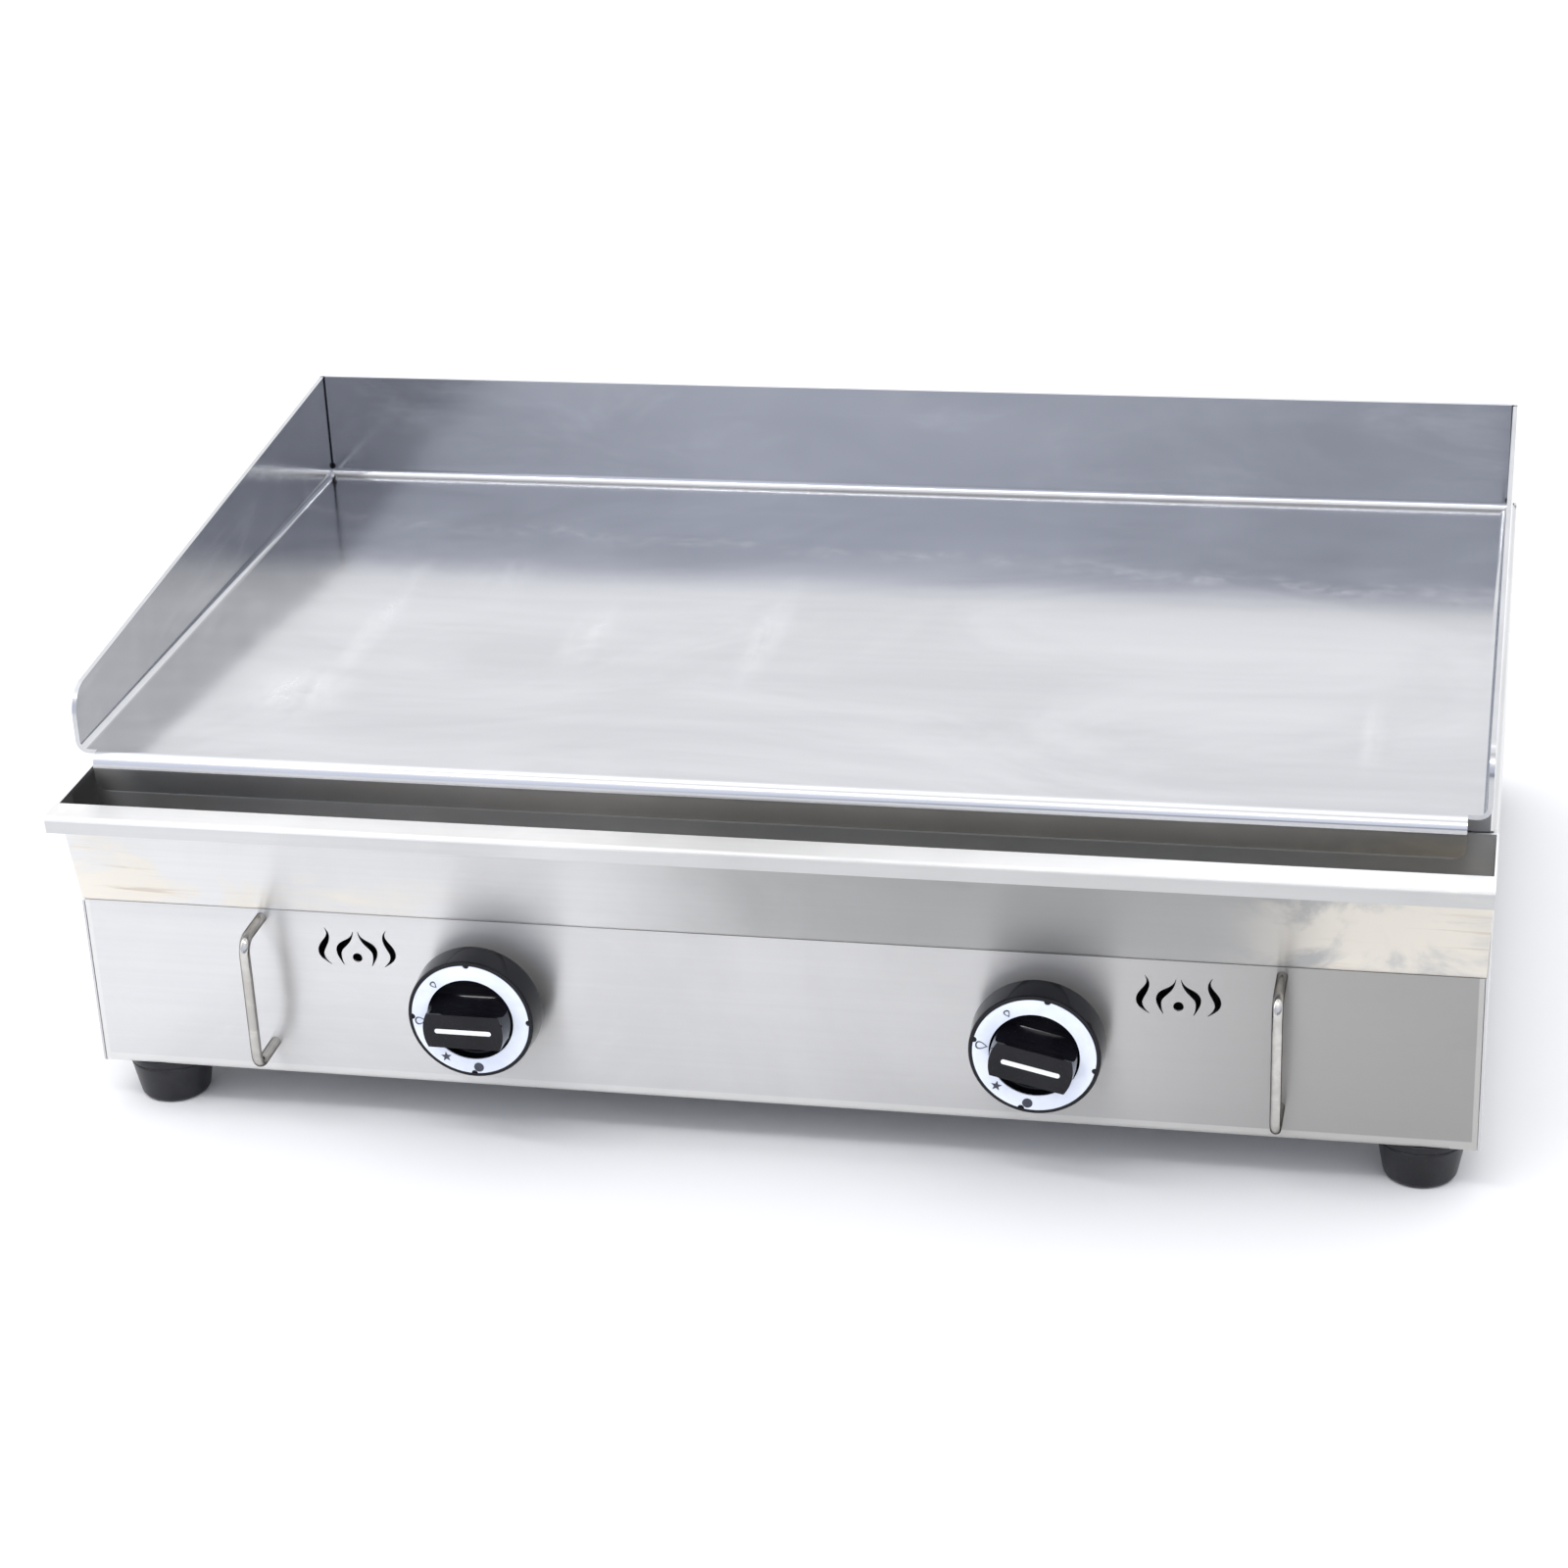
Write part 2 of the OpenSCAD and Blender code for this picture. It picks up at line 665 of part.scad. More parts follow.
module left_gas_jet() {
  color(brass) gas_jet(-knob_x);
}
module right_gas_jet() {
  color(brass) gas_jet(knob_x);
}

// Pilot line: out of the valve's side, back through the heat shield and up to its head
pilot_x = knob_x + 36;
pilot_z = knob_h;
pilot_r = 2.5;
pilot_bend = 10;
pilot_y = shield_y + 28;
pilot_top = 84;
module pilot_path(r) {
  start_x = knob_x + 20;
  bar_x(valve_y, pilot_z, r, start_x, pilot_x - pilot_bend);
  translate([pilot_x - pilot_bend, valve_y + pilot_bend, pilot_z])
    rotate([0, 0, -90]) rotate_extrude(angle = 90) translate([pilot_bend, 0]) circle(r = r);
  bar_y(pilot_x, pilot_z, r, valve_y + pilot_bend, pilot_y - pilot_bend);
  translate([pilot_x, pilot_y - pilot_bend, pilot_z + pilot_bend])
    rotate([0, -90, 180]) rotate_extrude(angle = 90) translate([-pilot_bend, 0]) circle(r = r);
  bar_z(pilot_x, pilot_y, r, pilot_z + pilot_bend, pilot_top);
}
module right_pilot_tube() {
  color(brass) at_body() pilot_path(pilot_r);
}
module left_pilot_tube() {
  color(brass) mirror([1, 0, 0]) at_body() pilot_path(pilot_r);
}
module pilot_head(x) {
  at_body() difference() {
    union() {
      hex_z(x, pilot_y, 6, pilot_top, pilot_top + 7);
      bar_z(x, pilot_y, 4, pilot_top + 6, pilot_top + 14);
    }
    bar_z(x, pilot_y, 1.5, pilot_top - 1, pilot_top + 12);
    bar_x(pilot_y, pilot_top + 11, 1.2, min(x, x + sign(x) * 8), max(x, x + sign(x) * 8));
  }
}
module left_pilot_head() {
  color(brass) pilot_head(-pilot_x);
}
module right_pilot_head() {
  color(brass) pilot_head(pilot_x);
}

// ---- knobs ----

rim_z = 29.5;
dial_in = 22.9;
dial_out = 31.2;
dish_z = 24;
skirt_z = 12.5;
mark_t = 0.15;
grip_r = 22.6;
grip_half = 9.5;
rim_r = knob_r - 1.1;

module knob() {
  difference() {
    union() {
      rotate_extrude($fn = 96) polygon(concat(
        [[0, skirt_z + 6], [knob_r - 3, skirt_z + 6], [knob_r - 3, skirt_z]],
        [for (a = [-90:30:0]) [knob_r - 0.9 + 0.9 * cos(a), skirt_z + 0.9 + 0.9 * sin(a)]],
        [for (a = [0:30:90]) [rim_r - 1 + cos(a), rim_z - 1 + sin(a)]],
        [[dial_out, rim_z], [dial_out, rim_z - 0.7], [dial_in, rim_z - 0.7], [dial_in - 0.1, dish_z + 0.8],
          [dial_in - 0.9, dish_z], [0, dish_z]]));
      translate([0, 0, 6]) cylinder(r = 9, h = 14);
      intersection() {
        translate([0, 0, dish_z - 1]) cylinder(r1 = grip_r, r2 = grip_r - 1.6, h = knob_reach - dish_z + 1, $fn = 96);
        difference() {
          box([-30, -grip_half - 2, dish_z - 1], [30, grip_half + 2, knob_reach]);
          for (s = [-1, 1]) translate([-31, s * (grip_half + 17.8), 34.5])
            rotate([0, 90, 0]) cylinder(r = 20, h = 62, $fn = 96);
          for (s = [-1, 1]) translate([0, s * (grip_half + 5), 46])
            box([-31, -5, -5], [31, 5, 5]);
        }
      }
    }
    difference() {
      translate([0, 0, 5]) cylinder(r = spindle_r + 0.02, h = 17.1);
      box([-5, 2.62, 8], [5, 5, 23]);
    }
    translate([0, 0, knob_reach - mark_t]) linear_extrude(1) slot_shape(30.04, 2.64);
  }
}
module left_knob() {
  color([0.09, 0.09, 0.1]) on_knob(-knob_x, left_knob_turn) knob();
}
module right_knob() {
  color([0.09, 0.09, 0.1]) on_knob(knob_x, right_knob_turn) knob();
}

// Printed dial ring with a half-round notch at each quarter
module dial_ring() {
  difference() {
    translate([0, 0, rim_z - 0.7]) cylinder(r = dial_out - 0.05, h = 0.7, $fn = 96);
    translate([0, 0, rim_z - 1]) cylinder(r = dial_in + 0.05, h = 2, $fn = 96);
    for (a = [0:90:270]) rotate([0, 0, a]) translate([dial_out, 0, rim_z - 1]) cylinder(r = 1.7, h = 2);
  }
}
module left_dial_ring() {
  color([0.92, 0.94, 0.98]) on_knob(-knob_x, left_knob_turn) dial_ring();
}
module right_dial_ring() {
  color([0.92, 0.94, 0.98]) on_knob(knob_x, right_knob_turn) dial_ring();
}

// Dial signs: a dot for off, a star for the pilot, a large and a small flame
module drop(h, w) {
  polygon([for (a = [0:15:345]) [h * cos(a) / 2, w * sin(a) * pow(sin(a / 2), 1.4) / 1.6]]);
}
module drop_sign(h, w) {
  difference() {
    drop(h, w);
    drop(h - 1.5, w - 1.3);
  }
}
module star(r) {
  polygon([for (i = [0:9]) let (q = i % 2 == 0 ? r : r * 0.42) [q * cos(36 * i), q * sin(36 * i)]]);
}
module dial_marks() {
  mid = (dial_in + dial_out) / 2;
  translate([0, 0, rim_z]) linear_extrude(mark_t) {
    rotate(-84.7) translate([mid + 0.6, 0]) circle(r = 2.6);
    rotate(-123) translate([mid - 0.3, 0]) star(2.9);
    rotate(-175.5) translate([mid - 0.4, 0]) rotate(180) drop_sign(6.4, 5);
    rotate(133) translate([mid - 0.8, 0]) rotate(180) drop_sign(4.2, 3.6);
  }
}
module left_dial_marks() {
  color([0.1, 0.1, 0.12]) on_knob(-knob_x, left_knob_turn) dial_marks();
}
module right_dial_marks() {
  color([0.1, 0.1, 0.12]) on_knob(knob_x, right_knob_turn) dial_marks();
}

// Plain index bar on the grip
module grip_mark() {
  translate([0, 0, knob_reach - mark_t]) linear_extrude(mark_t) slot_shape(30, 2.6);
}
module left_grip_mark() {
  color("white") on_knob(-knob_x, left_knob_turn) grip_mark();
}
module right_grip_mark() {
  color("white") on_knob(knob_x, right_knob_turn) grip_mark();
}

// ---- handles and feet ----

module handle(x) {
  r = 8;
  half = handle_pitch / 2;
  reach = handle_reach - handle_r;
  at_body() translate([x, 0, knob_h]) for (s = [-1, 1]) scale([1, 1, s]) {
    bar_y(0, half, handle_r, -reach + r, 0);
    bar_y(0, half, 2.5, -0.5, 9);
    translate([0, -reach + r, half - r]) rotate([0, 90, 0]) rotate([0, 0, 180])
      rotate_extrude(angle = 90) translate([r, 0]) circle(r = handle_r);
    bar_z(0, -reach, handle_r, 0, half - r);
  }
}
module left_handle() {
  color([0.85, 0.86, 0.88]) handle(-handle_x);
}
module right_handle() {
  color([0.85, 0.86, 0.88]) handle(handle_x);
}
module handle_nuts() {
  color(steel) at_body() for (s = [-1, 1]) for (e = [-1, 1]) difference() {
    union() {
      bar_y(s * handle_x, knob_h + e * handle_pitch / 2, 4.2, sheet_t, sheet_t + 0.8);
      hex_y(s * handle_x, knob_h + e * handle_pitch / 2, 4.2, sheet_t + 0.8, sheet_t + 4.4);
    }
    bar_y(s * handle_x, knob_h + e * handle_pitch / 2, 2.52, 0, 10);
  }
}

module foot(x, y) {
  low_r = foot_r - 4;
  at_body() translate([x, y, -foot_h]) rotate_extrude() polygon(concat(
    [[3.1, 14], [7, 14], [7, 0.6], [7.6, 0]],
    [for (a = [-90:22.5:-10]) [low_r - 3 + 3 * cos(a), 3 + 3 * sin(a)]],
    [[foot_r - 0.7, foot_h - 5.4], [foot_r - 1.2, foot_h - 4.6], [foot_r - 0.3, foot_h - 3.8],
      [foot_r, foot_h - 1], [foot_r - 0.6, foot_h], [3.1, foot_h]]));
}
module front_left_foot() {
  color([0.08, 0.08, 0.08]) foot(-foot_x, foot_front);
}
module front_right_foot() {
  color([0.08, 0.08, 0.08]) foot(foot_x, foot_front);
}
module rear_left_foot() {
  color([0.08, 0.08, 0.08]) foot(-foot_x, foot_rear);
}
module rear_right_foot() {
  color([0.08, 0.08, 0.08]) foot(foot_x, foot_rear);
}
module foot_screws() {
  color(steel) at_body() for (s = [-1, 1]) for (y = [foot_front, foot_rear]) {
    bar_z(s * foot_x, y, 6, 10 - foot_h, 14 - foot_h);
    bar_z(s * foot_x, y, 3, 13 - foot_h, 12);
    bar_z(s * foot_x, y, 8, base_z, base_z + 1.2);
    hex_z(s * foot_x, y, 5.8, base_z + 1.2, base_z + 6);
  }
}
module panel_screws() {
  color(steel) at_body() for (s = [-1, 1]) for (y = [60, body_d / 2, body_d - 60]) {
    bar_z(s * (half_w - 9), y, 2, -0.5, 7);
    bar_z(s * (half_w - 9), y, 4, -2.2, 0);
  }
}

front_panel();
left_side_panel();
right_side_panel();
back_panel();
base_pan();
flue_cover();
grease_trough();
front_rail();
rear_rail();
heat_shield();
rear_burner_support();
griddle_plate();
left_burner();
right_burner();
left_air_shutter();
right_air_shutter();
gas_manifold();
manifold_plug();
manifold_elbow();
inlet_pipe();
inlet_nuts();
left_valve_body();
right_valve_body();
left_valve_bonnet();
right_valve_bonnet();
bonnet_screws();
left_valve_plug();
right_valve_plug();
left_spindle();
right_spindle();
left_valve_spring();
right_valve_spring();
left_jet_elbow();
right_jet_elbow();
left_gas_jet();
right_gas_jet();
left_pilot_tube();
right_pilot_tube();
left_pilot_head();
right_pilot_head();
left_knob();
right_knob();
left_dial_ring();
right_dial_ring();
left_dial_marks();
right_dial_marks();
left_grip_mark();
right_grip_mark();
left_handle();
right_handle();
handle_nuts();
front_left_foot();
front_right_foot();
rear_left_foot();
rear_right_foot();
foot_screws();
panel_screws();
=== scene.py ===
import bpy
import json
import math
from mathutils import Matrix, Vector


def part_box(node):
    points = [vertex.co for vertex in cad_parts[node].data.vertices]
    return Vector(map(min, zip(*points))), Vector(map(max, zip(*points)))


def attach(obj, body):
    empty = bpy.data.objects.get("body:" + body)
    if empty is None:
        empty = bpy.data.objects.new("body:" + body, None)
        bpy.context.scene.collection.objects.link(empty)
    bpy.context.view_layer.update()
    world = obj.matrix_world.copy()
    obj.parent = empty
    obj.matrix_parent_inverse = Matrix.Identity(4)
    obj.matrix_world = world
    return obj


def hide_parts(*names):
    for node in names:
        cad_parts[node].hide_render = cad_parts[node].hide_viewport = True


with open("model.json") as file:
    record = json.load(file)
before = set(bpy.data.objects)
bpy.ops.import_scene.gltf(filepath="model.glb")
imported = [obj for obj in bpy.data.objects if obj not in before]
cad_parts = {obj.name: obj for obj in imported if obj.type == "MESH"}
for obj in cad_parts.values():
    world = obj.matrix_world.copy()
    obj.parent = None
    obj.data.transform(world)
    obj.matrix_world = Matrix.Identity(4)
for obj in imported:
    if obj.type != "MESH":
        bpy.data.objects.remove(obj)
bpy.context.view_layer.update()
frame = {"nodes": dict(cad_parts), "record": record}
scene = bpy.context.scene
cadNodes = frame["nodes"]
bodyOf = {name: body for body, names in frame["record"]["behaviour"]["bodies"].items() for name in names}
print("frame in,", len(cadNodes), "nodes")

# places taken from the frame
mm = 0.001
mergeWithin = 0.001 * mm
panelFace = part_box("front_panel")[0].y
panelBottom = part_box("front_panel")[0].z
knobAxisZ = panelBottom + 56 * mm
knobAxisX = 146 * mm
cookTop = panelBottom + 178.5 * mm
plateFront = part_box("griddle_plate")[0].y
lipBottom = cookTop - 21.5 * mm
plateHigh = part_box("griddle_plate")[1]
cornerIn = 2.5 * mm
cornerAt = (plateHigh.x - cornerIn, plateHigh.y - cornerIn)


# small helpers for selecting, smoothing and joining pieces
def selectOnly(*pieces):
    if bpy.context.mode != "OBJECT":
        bpy.ops.object.mode_set(mode="OBJECT")
    bpy.ops.object.select_all(action="DESELECT")
    for piece in pieces:
        piece.select_set(True)
    bpy.context.view_layer.objects.active = pieces[0]


def deselectAll():
    if bpy.context.mode != "OBJECT":
        bpy.ops.object.mode_set(mode="OBJECT")
    bpy.ops.object.select_all(action="DESELECT")


def applyModifier(piece, kind, **settings):
    selectOnly(piece)
    modifier = piece.modifiers.new(kind.lower(), kind)
    for name, value in settings.items():
        setattr(modifier, name, value)
    bpy.ops.object.modifier_apply(modifier=modifier.name)


def smoothBy(piece, degrees, weighted=True):
    selectOnly(piece)
    bpy.ops.object.shade_smooth_by_angle(angle=math.radians(degrees))
    if weighted:
        applyModifier(piece, "WEIGHTED_NORMAL", keep_sharp=True, weight=60)


def settle(piece):  # place, turn and size go into the mesh
    selectOnly(piece)
    bpy.ops.object.transform_apply(location=True, rotation=True, scale=True)


def joinPieces(name, *pieces):
    selectOnly(*pieces)
    bpy.ops.object.join()
    pieces[0].name = name
    return pieces[0]


# rings are (radius, height) from the start of the outline to its end
def turnedShape(name, rings, sides, closeEnd=False):
    deselectAll()
    radius, height = rings[0]
    bpy.ops.mesh.primitive_circle_add(vertices=sides, radius=radius * mm, location=(0, 0, height * mm))
    piece = bpy.context.object
    piece.name = name
    settle(piece)
    bpy.ops.object.mode_set(mode="EDIT")
    bpy.ops.mesh.select_mode(type="EDGE")
    bpy.ops.mesh.select_all(action="SELECT")
    for newRadius, newHeight in rings[1:]:
        bpy.ops.mesh.extrude_edges_move()
        grow = newRadius / radius
        bpy.ops.transform.resize(value=(grow, grow, 1), center_override=(0, 0, height * mm))
        bpy.ops.transform.translate(value=(0, 0, (newHeight - height) * mm))
        radius, height = newRadius, newHeight
    if closeEnd:
        bpy.ops.mesh.edge_face_add()
    bpy.ops.mesh.select_all(action="SELECT")
    bpy.ops.mesh.remove_doubles(threshold=mergeWithin)
    bpy.ops.mesh.normals_make_consistent(inside=False)
    bpy.ops.object.mode_set(mode="OBJECT")
    return piece


def meshCopy(piece, name, shift=(0, 0, 0), turn=None):
    twin = piece.copy()
    twin.data = piece.data.copy()
    twin.name = name
    scene.collection.objects.link(twin)
    if turn is not None:
        twin.data.transform(turn)
    twin.data.transform(Matrix.Translation(shift))
    return twin


def standFor(piece, slotName, *nodeNames):
    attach(piece, bodyOf[nodeNames[0]])
    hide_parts(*nodeNames)


def giveMaterial(piece, material):
    piece.data.materials.clear()
    piece.data.materials.append(material)


def dressNode(nodeName, material):  # a CAD node that keeps its own shape
    for place in cadNodes[nodeName].material_slots:
        place.material = material


# both upright front corners of the sheet are pressed sharper, so that they close up to the side panels
def tightenCorners(piece, reach, squeeze):
    halfWidth = max(vertex.co.x for vertex in piece.data.vertices)
    front = min(vertex.co.y for vertex in piece.data.vertices)
    for sign in (-1, 1):
        selectOnly(piece)
        bpy.ops.object.mode_set(mode="EDIT")
        bpy.ops.mesh.select_mode(type="VERT")
        bpy.ops.mesh.select_all(action="DESELECT")
        bpy.ops.object.mode_set(mode="OBJECT")
        for vertex in piece.data.vertices:
            vertex.select = vertex.co.x * sign > halfWidth - reach and vertex.co.y < front + reach
        bpy.ops.object.mode_set(mode="EDIT")
        bpy.ops.transform.resize(value=(squeeze, squeeze, 1), center_override=(sign * halfWidth, front, 0))
        bpy.ops.object.mode_set(mode="OBJECT")


# sizes in mm, angles in degrees
sheetEdges = {"merge": 0.002, "flat": 0.3, "corner": 35, "steps": 2, "smooth": 34, "tight": 1.7,
              "squeeze": 0.3}


# the folded sheet with its cut edges broken, as a file or a tumbler leaves them
def softenedSheet(nodeName, pieceName, edge, tight):
    mesh = cadNodes[nodeName].data.copy()
    piece = bpy.data.objects.new(pieceName, mesh)
    scene.collection.objects.link(piece)
    selectOnly(piece)
    bpy.ops.mesh.customdata_custom_splitnormals_clear()
    bpy.ops.object.mode_set(mode="EDIT")
    bpy.ops.mesh.select_all(action="SELECT")
    bpy.ops.mesh.remove_doubles(threshold=sheetEdges["merge"] * mm)
    bpy.ops.mesh.dissolve_limited(angle_limit=math.radians(sheetEdges["flat"]))
    bpy.ops.object.mode_set(mode="OBJECT")
    if tight:
        tightenCorners(piece, sheetEdges["tight"] * mm, sheetEdges["squeeze"])
    applyModifier(piece, "BEVEL", width=edge * mm, segments=sheetEdges["steps"], limit_method="ANGLE",
                  angle_limit=math.radians(sheetEdges["corner"]), use_clamp_overlap=True,
                  miter_outer="MITER_ARC")
    smoothBy(piece, sheetEdges["smooth"])
    return piece


# node helpers
def newMaterial(name):
    material = bpy.data.materials.new(name)
    material.use_nodes = True
    tree = material.node_tree
    return material, tree, tree.nodes["Principled BSDF"]


def put(tree, kind, **values):
    node = tree.nodes.new(kind)
    for name, value in values.items():
        setattr(node, name, value)
    return node


def wire(tree, value, socket):
    if isinstance(value, bpy.types.NodeSocket):
        tree.links.new(value, socket)
    else:
        socket.default_value = value


def calc(tree, operation, first, second=0.0, third=0.0):
    node = put(tree, "ShaderNodeMath", operation=operation)
    wire(tree, first, node.inputs[0])
    wire(tree, second, node.inputs[1])
    wire(tree, third, node.inputs[2])
    return node.outputs[0]


def times(tree, *values):
    product = values[0]
    for value in values[1:]:
        product = calc(tree, "MULTIPLY", product, value)
    return product


def remap(tree, value, low, high, outLow=0.0, outHigh=1.0, smooth=True):
    node = put(tree, "ShaderNodeMapRange", interpolation_type="SMOOTHSTEP" if smooth else "LINEAR")
    wire(tree, value, node.inputs["Value"])
    for name, number in (("From Min", low), ("From Max", high), ("To Min", outLow), ("To Max", outHigh)):
        node.inputs[name].default_value = number
    return node.outputs["Result"]


def blendColour(tree, factor, first, second):
    node = put(tree, "ShaderNodeMix", data_type="RGBA")
    wire(tree, factor, node.inputs[0])
    for value, socket in ((first, node.inputs[6]), (second, node.inputs[7])):
        wire(tree, value + (1,) if isinstance(value, tuple) else value, socket)
    return node.outputs[2]


def placed(tree, place, move=(0, 0, 0), turn=(0, 0, 0), stretch=(1, 1, 1)):
    node = put(tree, "ShaderNodeMapping")
    tree.links.new(place, node.inputs["Vector"])
    node.inputs["Location"].default_value = move
    node.inputs["Rotation"].default_value = [math.radians(a) for a in turn]
    node.inputs["Scale"].default_value = stretch
    return node.outputs["Vector"]


def noise(tree, place, scale, detail=3.0, rough=0.5, warp=0.0):
    node = put(tree, "ShaderNodeTexNoise")
    tree.links.new(place, node.inputs["Vector"])
    node.inputs["Scale"].default_value = scale
    node.inputs["Detail"].default_value = detail
    node.inputs["Roughness"].default_value = rough
    node.inputs["Distortion"].default_value = warp
    return node.outputs[0]


def bump(tree, height, distance, under=None):
    node = put(tree, "ShaderNodeBump")
    node.inputs["Strength"].default_value = 1.0
    node.inputs["Distance"].default_value = distance
    tree.links.new(height, node.inputs["Height"])
    if under is not None:
        tree.links.new(under, node.inputs["Normal"])
    return node.outputs["Normal"]


def objectPlace(tree):
    return put(tree, "ShaderNodeTexCoord").outputs["Object"]


def apart(tree, vector):
    node = put(tree, "ShaderNodeSeparateXYZ")
    tree.links.new(vector, node.inputs[0])
    return node.outputs[0], node.outputs[1], node.outputs[2]


def facing(tree):
    return apart(tree, put(tree, "ShaderNodeNewGeometry").outputs["Normal"])


sideFace = 0.7  # a face turned this much to the left or right is brushed front to back


# pattern place stretched along the brushing: left to right, or front to back on the side faces
def brushedPlace(tree, place, along, across):
    sideways = calc(tree, "GREATER_THAN", calc(tree, "ABSOLUTE", facing(tree)[0]), sideFace)
    node = put(tree, "ShaderNodeMix", data_type="VECTOR")
    tree.links.new(sideways, node.inputs[0])
    tree.links.new(placed(tree, place, stretch=(along, across, across)), node.inputs[4])
    tree.links.new(placed(tree, place, stretch=(across, along, across)), node.inputs[5])
    return node.outputs[1], sideways


# brushed steel shines along one direction, which turns with the brushing
def brushedShine(tree, shader, sideways, amount):
    node = put(tree, "ShaderNodeCombineXYZ")
    tree.links.new(calc(tree, "SUBTRACT", 1.0, sideways), node.inputs[0])
    tree.links.new(sideways, node.inputs[1])
    tree.links.new(node.outputs[0], shader.inputs["Tangent"])
    shader.inputs["Anisotropic"].default_value = amount
    shader.inputs["Anisotropic Rotation"].default_value = 0.25


# painted shade: the sheet is painted greyer towards its right, and again near its right end
def shadeAcrossWidth(tree, light, place, tone):
    placeX = apart(tree, place)[0]
    across = remap(tree, placeX, *tone["span"], 0.0, tone["amount"], smooth=False)
    across = calc(tree, "ADD", across, remap(tree, placeX, *tone["endSpan"], 0.0, tone["end"]))
    return blendColour(tree, across, light, tone["shadeGrey"])


# painted highlight: pale strips along the bottom fold and the side bends, where the sheet is folded back
# along its edges
def foldHighlights(tree, light, place, marks):
    placeX, _, placeZ = apart(tree, place)
    low = remap(tree, placeZ, marks["bottom"], marks["bottom"] - marks["fade"])
    side = remap(tree, calc(tree, "ABSOLUTE", placeX), marks["side"], marks["side"] + marks["fade"])
    strip = times(tree, calc(tree, "MAXIMUM", low, side), marks["amount"])
    return blendColour(tree, strip, light, marks["colour"])


# painted shade and painted light: the flat top, the turned-down edge, the sloping wall and the left end are
# painted darker, the top right and the inside paler
def shadedFaces(tree, light, place, faces):
    placeX, placeY, placeZ = apart(tree, place)
    normalZ = facing(tree)[2]
    upper = remap(tree, placeZ, *faces["topSpan"])
    lower = calc(tree, "SUBTRACT", 1.0, upper)
    level = times(tree, remap(tree, normalZ, *faces["levelNormal"]), upper)
    top = times(tree, level, remap(tree, placeX, *faces["topFade"], faces["top"], 0.0))
    light = blendColour(tree, top, light, faces["shadeBlack"])
    topRight = times(tree, level, remap(tree, placeX, *faces["topGrow"], 0.0, faces["topRight"]))
    light = blendColour(tree, topRight, light, faces["topPale"])
    inside = times(tree, lower, remap(tree, normalZ, *faces["floorNormal"], 0.0, faces["inside"]),
                   remap(tree, placeX, *faces["insideGrow"]))
    light = blendColour(tree, inside, light, faces["insidePale"])
    leftEnd = times(tree, remap(tree, placeX, *faces["leftGrow"], 0.0, faces["leftEnd"]), lower,
                    remap(tree, placeY, *faces["leftFront"]))
    light = blendColour(tree, leftEnd, light, faces["leftDark"])
    edge = times(tree, remap(tree, calc(tree, "ABSOLUTE", normalZ), *faces["edgeNormal"]), faces["edge"],
                 remap(tree, placeX, *faces["edgeGrow"]))
    light = blendColour(tree, edge, light, faces["shadeBlack"])
    ragged = noise(tree, place, scale=14.0, detail=4.0, rough=0.6, warp=0.6)
    drift = calc(tree, "MULTIPLY_ADD", ragged, faces["drift"], placeX)
    slope = times(tree, remap(tree, normalZ, *faces["slopeNormal"]), remap(tree, drift, *faces["slopeGrow"]),
                  remap(tree, drift, *faces["slopeFade"], 0.0, faces["slope"]))
    return blendColour(tree, slope, light, faces["shadeBlack"])


# straw and brown heat tint on the sloping wall, patchy and strongest low down towards both ends
def heatTint(tree, light, place, heat):
    placeX, placeY, placeZ = apart(tree, place)
    fromMiddle = calc(tree, "ABSOLUTE", placeX)
    onRight = calc(tree, "GREATER_THAN", placeX, 0.0)
    out = remap(tree, calc(tree, "MULTIPLY_ADD", onRight, -heat["rightIn"], fromMiddle), *heat["reach"])
    low = remap(tree, calc(tree, "MULTIPLY_ADD", onRight, -heat["rightLift"], placeZ), *heat["height"])
    front = remap(tree, placeY, *heat["front"])
    patchPlace = placed(tree, place, stretch=heat["patchStretch"])
    patch = noise(tree, patchPlace, scale=19.0, detail=5.0, rough=0.6, warp=0.9)
    patch = remap(tree, calc(tree, "MULTIPLY_ADD", low, heat["lowBias"], patch), *heat["patchSpan"])
    amount = times(tree, out, patch, times(tree, front, heat["amount"]))
    light = blendColour(tree, amount, light, heat["straw"])
    veinPlace = placed(tree, place, stretch=heat["veinStretch"])
    veins = noise(tree, veinPlace, scale=85.0, detail=6.0, rough=0.6, warp=0.7)
    veins = times(tree, remap(tree, veins, *heat["veinSpan"]),
                  remap(tree, fromMiddle, *heat["veinReach"], *heat["veins"]))
    return blendColour(tree, times(tree, amount, veins), light, heat["brown"])


